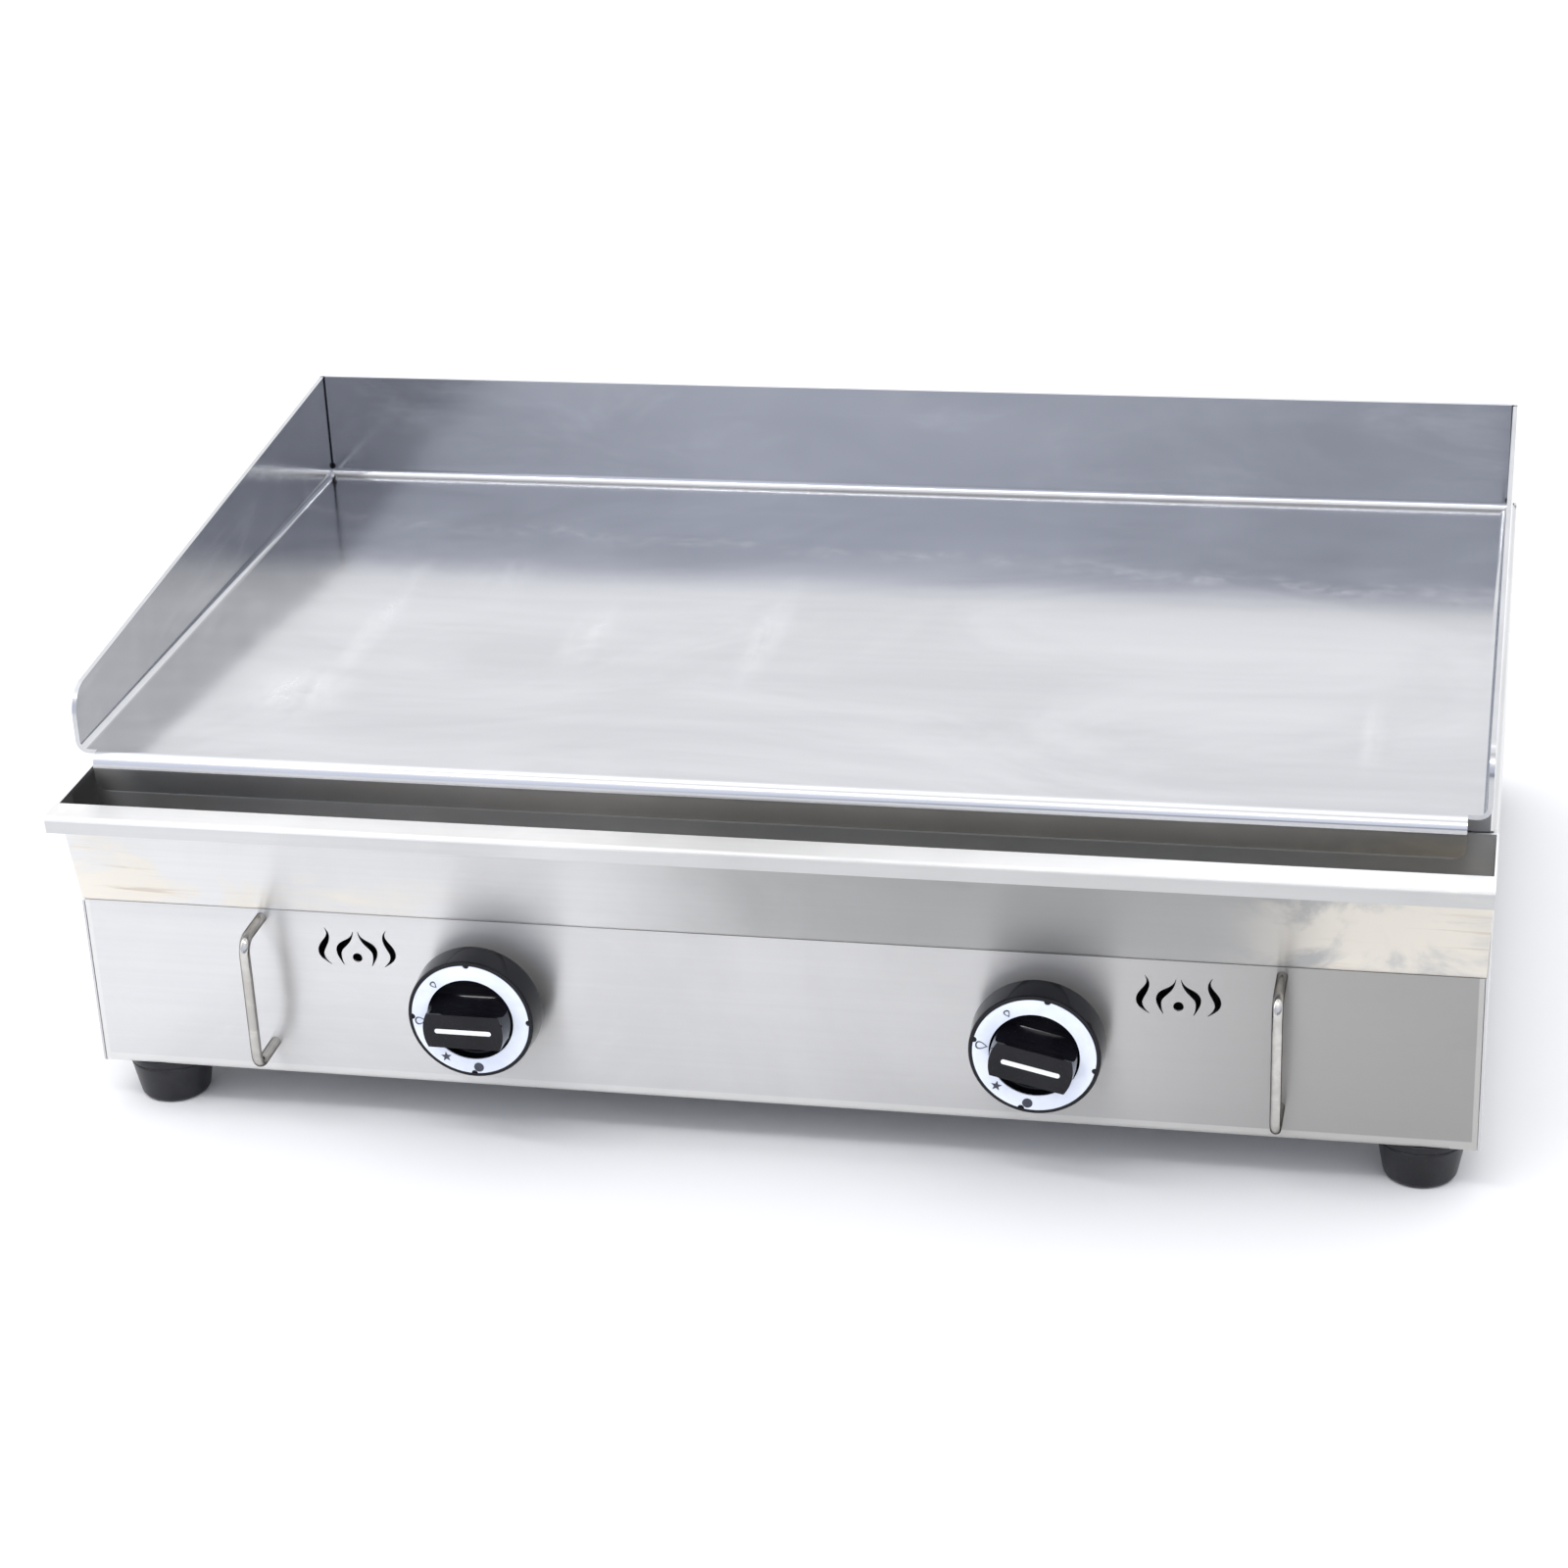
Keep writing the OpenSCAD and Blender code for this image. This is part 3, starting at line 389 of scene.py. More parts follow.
# satin stainless sheet: fine brushing, long faint streaks, cloudy handling marks, slight waviness
def sheetSteel(name, look):
    material, tree, shader = newMaterial(name)
    place = objectPlace(tree)
    fine, sideways = brushedPlace(tree, place, look["grainAlong"], look["grainAcross"])
    grain = noise(tree, fine, scale=1.0, detail=2.0, rough=0.6)
    coarse = brushedPlace(tree, place, look["streakAlong"], look["streakAcross"])[0]
    streak = noise(tree, coarse, scale=1.0, detail=3.0, rough=0.55)
    cloud = noise(tree, place, look["cloudSize"], detail=5.0, rough=0.55, warp=0.8)
    spotPlace = placed(tree, place, stretch=look["spotStretch"])
    spots = noise(tree, spotPlace, look["cloudSize"] * look["spotScale"], detail=6.0, rough=0.6, warp=1.6)
    smudge = remap(tree, spots, *look["smudgeSpan"])
    light = blendColour(tree, remap(tree, cloud, *look["cloudSpan"]), look["dark"], look["light"])
    light = blendColour(tree, remap(tree, streak, *look["streakSpan"], 0.0, look["streakShade"]), light,
                        look["streakGrey"])
    light = blendColour(tree, times(tree, smudge, look["smudge"]), light, look["smudgePale"])
    # tone, fold strips and faces are painted shade and painted highlight; heat is the sheet's own tint
    marks = {"tone": shadeAcrossWidth, "foldHighlight": foldHighlights, "faces": shadedFaces, "heat": heatTint}
    for key, addMark in marks.items():
        if key in look:
            light = addMark(tree, light, place, look[key])
    tree.links.new(light, shader.inputs["Base Color"])
    rough = calc(tree, "MULTIPLY_ADD", grain, look["grainRough"], look["rough"] - look["grainRough"] * 0.5)
    rough = calc(tree, "MULTIPLY_ADD", smudge, look["smudgeRough"], rough)
    rough = calc(tree, "MULTIPLY_ADD", cloud, look["cloudRough"], rough)
    tree.links.new(rough, shader.inputs["Roughness"])
    shader.inputs["Metallic"].default_value = 1.0
    brushedShine(tree, shader, sideways, look["oneWay"])
    surface = bump(tree, noise(tree, place, look["waveSize"], detail=1.0, rough=0.4), look["wave"])
    surface = bump(tree, grain, look["grainDepth"], surface)
    tree.links.new(surface, shader.inputs["Normal"])
    return material


# sheet finishes
# painted shade: these dark and light colours are kept darker than the front panel's, though the side panels,
# back panel and flue cover that use them are the same steel
panelLook = {
    "dark": (0.56, 0.56, 0.555), "light": (0.63, 0.63, 0.625), "rough": 0.36, "grainRough": 0.08,
    "cloudRough": 0.06, "cloudSize": 5.5, "cloudSpan": (0.35, 0.66), "smudge": 0.12, "smudgeRough": 0.05,
    "smudgeSpan": (0.52, 0.74), "smudgePale": (0.86, 0.86, 0.85), "spotStretch": (1, 1, 2.4),
    "spotScale": 3.7,
    "streakAlong": 4.0, "streakAcross": 420.0, "streakShade": 0.07, "streakSpan": (0.25, 0.75),
    "streakGrey": (0.42, 0.42, 0.43), "grainAlong": 30.0, "grainAcross": 2600.0, "grainDepth": 0.000004,
    "oneWay": 0.93, "waveSize": 5.0, "wave": 0.0007,
}
frontLook = dict(panelLook)
frontLook.update({
    "dark": (0.65, 0.645, 0.635), "light": (0.715, 0.71, 0.70),
    # tone: painted shade, the front panel painted greyer towards its right and near its right end
    "tone": {"span": (-0.16, 0.365), "amount": 0.62, "endSpan": (0.12, 0.29), "end": 0.33,
             "shadeGrey": (0.345, 0.335, 0.32)},
    # painted highlight: pale strips along the bottom fold and the side bends
    "foldHighlight": {"bottom": panelBottom + 6 * mm, "side": 0.3605, "fade": 0.0006, "amount": 0.30,
                  "colour": (0.86, 0.85, 0.80)},
})
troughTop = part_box("grease_trough")[1].z
troughLook = dict(panelLook)
troughLook.update({
    "dark": (0.70, 0.695, 0.685), "light": (0.78, 0.775, 0.765), "smudge": 0.2,
    # tone: painted shade, the trough painted greyer right of its middle
    "tone": {"span": (-0.10, 0.0), "amount": 0.55, "endSpan": (0.3, 0.4), "end": 0.0,
             "shadeGrey": (0.40, 0.40, 0.385)},
    # faces: painted shade on the top, edge, slope and left end, painted light on the top right and inside
    "faces": {"topSpan": (troughTop - 4 * mm, troughTop - 2 * mm), "levelNormal": (0.80, 0.95),
              "floorNormal": (0.2, 0.5), "edgeNormal": (0.10, 0.02), "slopeNormal": (-0.06, -0.14),
              "shadeBlack": (0.0, 0.0, 0.0), "top": 0.16, "topFade": (0.15, 0.32),
              "topRight": 0.65, "topGrow": (-0.05, 0.28), "topPale": (0.88, 0.88, 0.89),
              "inside": 0.65, "insideGrow": (-0.30, -0.05), "insidePale": (0.95, 0.93, 0.90),
              "leftEnd": 0.5, "leftGrow": (-0.22, -0.345), "leftFront": (-0.2365, -0.2345),
              "leftDark": (0.16, 0.16, 0.165), "edge": 0.19, "edgeGrow": (0.0, -0.15),
              "slope": 0.27, "drift": 0.12, "slopeGrow": (-0.03, 0.12), "slopeFade": (0.38, 0.32)},
    "heat": {"reach": (0.14, 0.22), "height": (0.163, 0.131), "rightLift": 0.020, "rightIn": 0.085,
             "front": (-0.2385, -0.2405), "amount": 0.85, "lowBias": 0.26, "patchSpan": (0.58, 0.78),
             "patchStretch": (0.7, 1, 1.3), "veinStretch": (0.11, 1, 3.0), "veinSpan": (0.55, 0.70),
             "veinReach": (0.24, 0.35), "veins": (0.10, 0.75), "straw": (0.82, 0.77, 0.675),
             "brown": (0.55, 0.47, 0.39)},
})
innerLook = dict(panelLook)
innerLook.update({
    "dark": (0.44, 0.445, 0.455), "light": (0.52, 0.525, 0.535), "rough": 0.42, "smudge": 0.1,
    "cloudSize": 9.0, "oneWay": 0.6,
})
burnerLook = dict(panelLook)
burnerLook.update({
    "dark": (0.28, 0.275, 0.27), "light": (0.42, 0.41, 0.40), "rough": 0.42, "smudge": 0.3, "cloudSize": 24.0,
    "oneWay": 0.3, "grainAlong": 60.0,
})

shadedPanelSteel = sheetSteel("shadedSatinPanelSteel", panelLook)
frontSteel = sheetSteel("satinFrontSteel", frontLook)
troughSteel = sheetSteel("satinTroughSteel", troughLook)
innerSteel = sheetSteel("millFinishSteel", innerLook)
burnerSteel = sheetSteel("heatDarkenedSteel", burnerLook)


# the griddle plate's ground finish; places in metres from the middle of the frame
plateLook = {
    "dark": (0.435, 0.44, 0.455), "light": (0.50, 0.505, 0.52), "cloudSpan": (0.33, 0.68), "rough": 0.125,
    "cloudRough": 0.10, "grainRough": 0.05, "wallRough": 0.08, "filmRough": 0.26, "filmDull": -0.35,
    "grainAlong": 26.0, "grainAcross": 1500.0, "grainDepth": 0.000004, "streakAlong": 3.2,
    "streakAcross": 46.0, "streakSpan": (0.3, 0.75), "streakShade": 0.12,
    "streakPale": (0.66, 0.665, 0.675), "oneWay": 0.35, "wave": 0.0011, "flatNormal": (0.6, 0.95),
    "film": (0.66, 0.66, 0.665), "filmSpan": (0.34, 0.70), "crumbShare": 0.45, "wispShare": 0.6,
    # wipe marks: middle x, middle y, half length, half width, turn, strength
    "wipes": [(-0.256, -0.040, 0.095, 0.010, 1.0, 0.75), (-0.272, -0.140, 0.044, 0.032, 20.0, 0.72),
              (-0.133, -0.045, 0.070, 0.013, -12.0, 0.60), (-0.034, -0.030, 0.080, 0.012, -5.0, 0.65),
              (-0.205, 0.020, 0.045, 0.030, 35.0, 0.30), (0.301, -0.140, 0.055, 0.007, 0.0, 0.35)],
    "wipeReach": 1.25, "tideAt": 0.120, "tideWide": 0.017, "tideTilt": 0.09, "tideWander": 0.06,
    "tideCrumbs": (0.40, 0.78), "tide": 0.30,
    # painted light: one colour below paints the upright walls paler towards the middle
    "wallSpan": (0.48, 0.74), "wall": 0.35, "wallPale": (0.74, 0.75, 0.77), "splashLightColour": (0.66, 0.665, 0.68),
    "centreSpan": (0.28, 0.03), "centre": 0.65, "wallFrom": (cookTop, cookTop + 4 * mm),
    # painted highlight: the nose colour paints the rolled nose paler
    "noseHighlight": (0.60, 0.605, 0.62), "noseFront": (plateFront + 7 * mm, plateFront + 4 * mm),
    "noseHeight": (cookTop - 6 * mm, cookTop - 4 * mm),
    # painted light: the lip colour paints the front lip paler towards the right
    "lip": (0.84, 0.82, 0.79), "lipHeight": (cookTop - 6 * mm, cookTop - 9 * mm), "lipGrow": (-0.30, -0.05),
    "lipEdge": 0.55, "lipEdgeHeight": (lipBottom + 1 * mm, lipBottom + 0.4 * mm),
    "seam": (0.045, 0.045, 0.05), "seamWide": (0.0011, 0.0004),
    "seamFrom": (cookTop + 4 * mm, cookTop + 6 * mm),
    "holeAt": cookTop + 5.5 * mm, "holeWide": (0.0024, 0.0017),
}


# haze of wipe marks and crumbs, and the tide line across the plate
def plateFilm(tree, place, flat, look):
    placeX, placeY, _ = apart(tree, place)
    wispPlace = placed(tree, place, turn=(0, 0, 8), stretch=(70, 9, 9))
    wisps = noise(tree, wispPlace, scale=1.0, detail=5.0, rough=0.62, warp=1.0)
    crumbs = noise(tree, place, scale=55.0, detail=6.0, rough=0.65, warp=1.4)
    film = None
    for wipeX, wipeY, halfLong, halfWide, turn, strength in look["wipes"]:
        near = placed(tree, placed(tree, place, move=(-wipeX, -wipeY, 0)), turn=(0, 0, turn),
                      stretch=(1 / halfWide, 1 / halfLong, 0))
        distance = put(tree, "ShaderNodeVectorMath", operation="LENGTH")
        tree.links.new(near, distance.inputs[0])
        mark = remap(tree, distance.outputs["Value"], look["wipeReach"], 0.0, 0.0, strength)
        film = mark if film is None else calc(tree, "MAXIMUM", film, mark)
    broken = calc(tree, "MULTIPLY_ADD", crumbs, look["crumbShare"], times(tree, wisps, look["wispShare"]))
    film = times(tree, film, remap(tree, broken, *look["filmSpan"]))
    tideLine = calc(tree, "MULTIPLY_ADD", placeX, look["tideTilt"], placeY)
    ragged = noise(tree, place, scale=13.0, detail=5.0, rough=0.6, warp=0.8)
    tideLine = calc(tree, "MULTIPLY_ADD", ragged, look["tideWander"], tideLine)
    offTide = calc(tree, "ABSOLUTE", calc(tree, "SUBTRACT", tideLine, look["tideAt"]))
    tide = times(tree, remap(tree, offTide, look["tideWide"], 0.0),
                 remap(tree, crumbs, *look["tideCrumbs"], 0.0, look["tide"]))
    return times(tree, calc(tree, "MAXIMUM", film, tide), flat)


# dark line where the folded walls meet at both back corners, and a small relief hole there painted as a dark
# dot, a painted shade
def cornerSeam(tree, place, look):
    placeX, placeY, placeZ = apart(tree, place)
    offX = calc(tree, "SUBTRACT", calc(tree, "ABSOLUTE", placeX), cornerAt[0])
    offY = calc(tree, "SUBTRACT", placeY, cornerAt[1])
    offSeam = calc(tree, "SQRT", calc(tree, "MULTIPLY_ADD", offX, offX, times(tree, offY, offY)))
    seam = times(tree, remap(tree, offSeam, *look["seamWide"]), remap(tree, placeZ, *look["seamFrom"]))
    # painted shade: the relief hole is a dark dot, no hole is cut
    offHole = calc(tree, "SUBTRACT", placeZ, look["holeAt"])
    offHole = calc(tree, "SQRT", calc(tree, "MULTIPLY_ADD", offHole, offHole, times(tree, offSeam, offSeam)))
    return calc(tree, "MAXIMUM", seam, remap(tree, offHole, *look["holeWide"]))


def plateSteel(name, look):
    material, tree, shader = newMaterial(name)
    place = objectPlace(tree)
    placeX, placeY, placeZ = apart(tree, place)
    fine, sideways = brushedPlace(tree, place, look["grainAlong"], look["grainAcross"])
    grain = noise(tree, fine, scale=1.0, detail=2.0, rough=0.6)
    coarse = brushedPlace(tree, place, look["streakAlong"], look["streakAcross"])[0]
    streak = noise(tree, coarse, scale=1.0, detail=4.0, rough=0.6, warp=0.3)
    cloudPlace = placed(tree, place, move=(2.1, 0.4, 0), stretch=(1, 1.6, 1.2))
    cloud = noise(tree, cloudPlace, scale=5.2, detail=5.0, rough=0.55, warp=1.2)
    flat = remap(tree, facing(tree)[2], *look["flatNormal"])
    upright = calc(tree, "SUBTRACT", 1.0, flat)
    film = plateFilm(tree, place, flat, look)
    wallPlace = placed(tree, place, turn=(0, 28, 0), stretch=(5, 5, 16))
    wall = noise(tree, wallPlace, scale=1.0, detail=5.0, rough=0.6, warp=1.1)
    wall = times(tree, remap(tree, wall, *look["wallSpan"]), upright)
    colour = blendColour(tree, remap(tree, cloud, *look["cloudSpan"]), look["dark"], look["light"])
    colour = blendColour(tree, remap(tree, streak, *look["streakSpan"], 0.0, look["streakShade"]), colour,
                         look["streakPale"])
    # painted light: the upright walls are painted paler towards the middle
    centre = remap(tree, calc(tree, "ABSOLUTE", placeX), *look["centreSpan"], 0.0, look["centre"])
    centre = times(tree, upright, centre, remap(tree, placeZ, *look["wallFrom"]))
    colour = blendColour(tree, centre, colour, look["splashLightColour"])
    colour = blendColour(tree, times(tree, wall, look["wall"]), colour, look["wallPale"])
    # painted highlight: the rolled nose is painted paler
    noseHighlight = times(tree, remap(tree, placeY, *look["noseFront"]), remap(tree, placeZ, *look["noseHeight"]))
    colour = blendColour(tree, noseHighlight, colour, look["noseHighlight"])
    # painted light: the front lip is painted paler towards the right
    lip = times(tree, remap(tree, placeZ, *look["lipHeight"]), remap(tree, placeX, *look["lipGrow"]))
    colour = blendColour(tree, lip, colour, look["lip"])
    lipEdge = remap(tree, placeZ, *look["lipEdgeHeight"], 0.0, look["lipEdge"])
    film = calc(tree, "MAXIMUM", film, lipEdge)
    colour = blendColour(tree, film, colour, look["film"])
    colour = blendColour(tree, cornerSeam(tree, place, look), colour, look["seam"])
    tree.links.new(colour, shader.inputs["Base Color"])
    rough = calc(tree, "MULTIPLY_ADD", cloud, look["cloudRough"], look["rough"] - 0.5 * look["cloudRough"])
    for mark, share in ((grain, "grainRough"), (wall, "wallRough"), (film, "filmRough")):
        rough = calc(tree, "MULTIPLY_ADD", mark, look[share], rough)
    tree.links.new(rough, shader.inputs["Roughness"])
    tree.links.new(calc(tree, "MULTIPLY_ADD", film, look["filmDull"], 1.0), shader.inputs["Metallic"])
    brushedShine(tree, shader, sideways, look["oneWay"])
    wave = noise(tree, placed(tree, place, stretch=(1, 1.5, 1)), scale=4.2, detail=1.5, rough=0.4)
    surface = bump(tree, grain, look["grainDepth"], bump(tree, wave, look["wave"]))
    tree.links.new(surface, shader.inputs["Normal"])
    return material


griddleSteel = plateSteel("groundGriddleSteel", plateLook)
print("sheet finishes made")


# plain metal, plastic and rubber finishes
fineRough = 0.06  # how much the fine grain of plain metal varies its roughness


# turned, drawn, plated or polished metal with light handling wear
def plainMetal(name, look):
    material, tree, shader = newMaterial(name)
    place = objectPlace(tree)
    marks = noise(tree, place, look["size"], detail=5.0, rough=0.6, warp=0.6)
    fine = noise(tree, placed(tree, place, stretch=look["grain"]), scale=1.0, detail=3.0, rough=0.6)
    tone = blendColour(tree, remap(tree, marks, low=0.35, high=0.68), look["dark"], look["light"])
    tree.links.new(tone, shader.inputs["Base Color"])
    rough = calc(tree, "MULTIPLY_ADD", marks, look["wear"], look["rough"] - 0.5 * look["wear"])
    tree.links.new(calc(tree, "MULTIPLY_ADD", fine, fineRough, rough), shader.inputs["Roughness"])
    shader.inputs["Metallic"].default_value = 1.0
    # painted shade: a dark edge tint darkens the metal's reflection towards its edges
    if "edgeShadeTint" in look:
        shader.inputs["Specular Tint"].default_value = look["edgeShadeTint"] + (1,)
    tree.links.new(bump(tree, fine, look["depth"]), shader.inputs["Normal"])
    return material


# the handle steel's dark edge tint is a painted shade towards the bar's edges
polishedSteel = plainMetal("polishedHandleSteel", {
    "dark": (0.44, 0.425, 0.40), "light": (0.56, 0.545, 0.515), "rough": 0.06, "wear": 0.03, "size": 90.0,
    "grain": (1600, 1600, 60), "depth": 0.000002, "edgeShadeTint": (0.12, 0.11, 0.10)})
zincPlate = plainMetal("brightZincPlate", {
    "dark": (0.55, 0.56, 0.58), "light": (0.69, 0.70, 0.72), "rough": 0.26, "wear": 0.14, "size": 240.0,
    "grain": (900, 900, 900), "depth": 0.000010})
shutterSteel = plainMetal("shutterSteel", {
    "dark": (0.54, 0.54, 0.55), "light": (0.68, 0.68, 0.69), "rough": 0.30, "wear": 0.14, "size": 70.0,
    "grain": (900, 40, 900), "depth": 0.000008})
pipeSteel = plainMetal("pipeSteel", {
    "dark": (0.27, 0.275, 0.285), "light": (0.42, 0.425, 0.435), "rough": 0.40, "wear": 0.22, "size": 60.0,
    "grain": (600, 600, 600), "depth": 0.000020})
brass = plainMetal("machinedBrass", {
    "dark": (0.58, 0.42, 0.19), "light": (0.76, 0.58, 0.30), "rough": 0.27, "wear": 0.16, "size": 110.0,
    "grain": (500, 1800, 500), "depth": 0.000008})
turnedSteel = plainMetal("turnedSpindleSteel", {
    "dark": (0.50, 0.50, 0.51), "light": (0.64, 0.64, 0.65), "rough": 0.22, "wear": 0.12, "size": 160.0,
    "grain": (300, 2600, 300), "depth": 0.000006})
springWire = plainMetal("drawnSpringWire", {
    "dark": (0.46, 0.46, 0.47), "light": (0.60, 0.60, 0.61), "rough": 0.28, "wear": 0.12, "size": 300.0,
    "grain": (1200, 1200, 1200), "depth": 0.000005})
copperTube = plainMetal("drawnPilotTube", {
    "dark": (0.52, 0.30, 0.20), "light": (0.74, 0.46, 0.33), "rough": 0.30, "wear": 0.20, "size": 80.0,
    "grain": (900, 900, 900), "depth": 0.000008})


dustLook = {"finer": 14, "span": (0.60, 0.78), "colour": (0.55, 0.55, 0.54), "rough": 0.12}


# moulded or printed plastic and rubber: faint flow mottling, dust and fine scuffs
def moulding(name, look):
    material, tree, shader = newMaterial(name)
    place = objectPlace(tree)
    mottle = noise(tree, place, look["size"], detail=4.0, rough=0.55, warp=0.4)
    specks = noise(tree, place, look["size"] * dustLook["finer"], detail=3.0, rough=0.7)
    dust = remap(tree, specks, *dustLook["span"])
    tone = blendColour(tree, remap(tree, mottle, low=0.3, high=0.7), look["dark"], look["light"])
    tone = blendColour(tree, times(tree, dust, look["dust"]), tone, dustLook["colour"])
    tree.links.new(tone, shader.inputs["Base Color"])
    rough = calc(tree, "MULTIPLY_ADD", mottle, look["wear"], look["rough"] - 0.5 * look["wear"])
    tree.links.new(calc(tree, "MULTIPLY_ADD", dust, dustLook["rough"], rough), shader.inputs["Roughness"])
    shader.inputs["IOR"].default_value = look["ior"]
    skin = noise(tree, place, look["skin"], detail=3.0, rough=0.6)
    tree.links.new(bump(tree, skin, look["depth"]), shader.inputs["Normal"])
    return material


knobBlack = moulding("glossBlackKnob", {
    "dark": (0.004, 0.004, 0.006), "light": (0.008, 0.008, 0.011), "rough": 0.07, "wear": 0.03, "size": 45.0,
    "dust": 0.02, "ior": 1.32, "skin": 160.0, "depth": 0.000018})
dialWhite = moulding("printedDialWhite", {
    "dark": (0.74, 0.79, 0.90), "light": (0.84, 0.88, 0.95), "rough": 0.30, "wear": 0.08, "size": 60.0,
    "dust": 0.04, "ior": 1.5, "skin": 700.0, "depth": 0.000006})
dialPrint = moulding("printedDialMarks", {
    "dark": (0.030, 0.034, 0.055), "light": (0.050, 0.055, 0.080), "rough": 0.40, "wear": 0.08, "size": 200.0,
    "dust": 0.03, "ior": 1.5, "skin": 900.0, "depth": 0.000004})
gripWhite = moulding("printedGripWhite", {
    "dark": (0.76, 0.78, 0.80), "light": (0.86, 0.87, 0.88), "rough": 0.34, "wear": 0.08, "size": 150.0,
    "dust": 0.05, "ior": 1.5, "skin": 900.0, "depth": 0.000005})
footRubber = moulding("footRubber", {
    "dark": (0.006, 0.006, 0.008), "light": (0.014, 0.014, 0.018), "rough": 0.36, "wear": 0.14, "size": 60.0,
    "dust": 0.08, "ior": 1.42, "skin": 1500.0, "depth": 0.000030})
print("other finishes made")

# folded sheets: name of the piece, finish, slot, and how far its cut edges are broken in mm
sheets = {
    "front_panel": ("frontPanel", frontSteel, "panel_steel", 0.22),
    "left_side_panel": ("leftSidePanel", shadedPanelSteel, "panel_steel", 0.22),
    "right_side_panel": ("rightSidePanel", shadedPanelSteel, "panel_steel", 0.22),
    "back_panel": ("backPanel", shadedPanelSteel, "panel_steel", 0.22),
    "base_pan": ("basePan", innerSteel, "inner_steel", 0.2),
    "flue_cover": ("flueCover", shadedPanelSteel, "panel_steel", 0.22),
    "grease_trough": ("greaseTrough", troughSteel, "trough_steel", 0.25),
    "griddle_plate": ("griddlePlate", griddleSteel, "griddle_steel", 0.45),
    "front_rail": ("frontRail", innerSteel, "inner_steel", 0.2),
    "rear_rail": ("rearRail", innerSteel, "inner_steel", 0.2),
    "heat_shield": ("heatShield", innerSteel, "inner_steel", 0.2),
    "rear_burner_support": ("rearBurnerSupport", innerSteel, "inner_steel", 0.2),
}
for nodeName, (pieceName, material, slotName, edge) in sheets.items():
    sheet = softenedSheet(nodeName, pieceName, edge, nodeName == "front_panel")
    giveMaterial(sheet, material)
    standFor(sheet, slotName, nodeName)
    print("sheet", pieceName, len(sheet.data.polygons), "faces")

# parts that keep their made shape
pairedParts = {
    "burner": burnerSteel, "air_shutter": shutterSteel, "valve_body": brass, "valve_bonnet": brass,
    "valve_plug": brass, "spindle": turnedSteel, "valve_spring": springWire, "jet_elbow": brass,
    "gas_jet": brass, "pilot_tube": copperTube, "pilot_head": zincPlate, "dial_ring": dialWhite,
    "dial_marks": dialPrint, "grip_mark": gripWhite,
}
singleParts = {
    "gas_manifold": pipeSteel, "manifold_plug": pipeSteel, "manifold_elbow": pipeSteel,
    "inlet_pipe": pipeSteel, "inlet_nuts": zincPlate, "bonnet_screws": zincPlate, "handle_nuts": zincPlate,
    "foot_screws": zincPlate, "panel_screws": zincPlate,
}
for partName, material in pairedParts.items():
    dressNode("left_" + partName, material)
    dressNode("right_" + partName, material)
for partName, material in singleParts.items():
    dressNode(partName, material)
print("kept parts dressed")

# control knobs, in mm from the panel's face along the knob's axis; turns in degrees
knobShape = {
    "skirt": [(31.4, 18.5), (31.4, 12.9), (31.7, 12.6), (32.8, 12.5), (33.6, 12.75), (34.15, 13.3),
              (34.4, 14.2), (33.45, 27.0), (33.4, 28.2), (33.25, 28.9), (32.9, 29.35), (32.4, 29.5),
              (31.6, 29.5), (31.3, 29.4), (31.2, 29.15), (31.2, 28.8), (22.9, 28.8), (22.85, 28.4),
              (22.7, 25.2), (22.5, 24.6), (22.0, 24.15), (21.3, 24.0)],
    "web": [(31.4, 18.5), (9.0, 18.5)],
    "hub": [(9.0, 18.6), (9.0, 6.3), (8.7, 6.0), (4.4, 6.0), (4.1, 6.3), (4.1, 18.6)],
    "sides": 128, "hubSides": 64, "gripFoot": (22.6, 23.0), "gripTop": (21.2, 43.1),
    "flank": 14.0, "flankAway": 21.2, "flankHeight": 34.2, "flankSides": 192, "cutterLong": 70.0,
    "faceHalf": 9.5, "faceFrom": 40.6, "block": 50.0, "edge": 0.55, "edgeSteps": 4, "corner": 30,
    "smooth": 32, "turns": {"left": 0.0, "right": -13.0},
}


# the grip is cut away by the cutter, which is then thrown away
def cutAway(grip, cutter):
    settle(cutter)
    applyModifier(grip, "BOOLEAN", operation="DIFFERENCE", object=cutter, solver="EXACT")
    bpy.data.objects.remove(cutter)
    deselectAll()


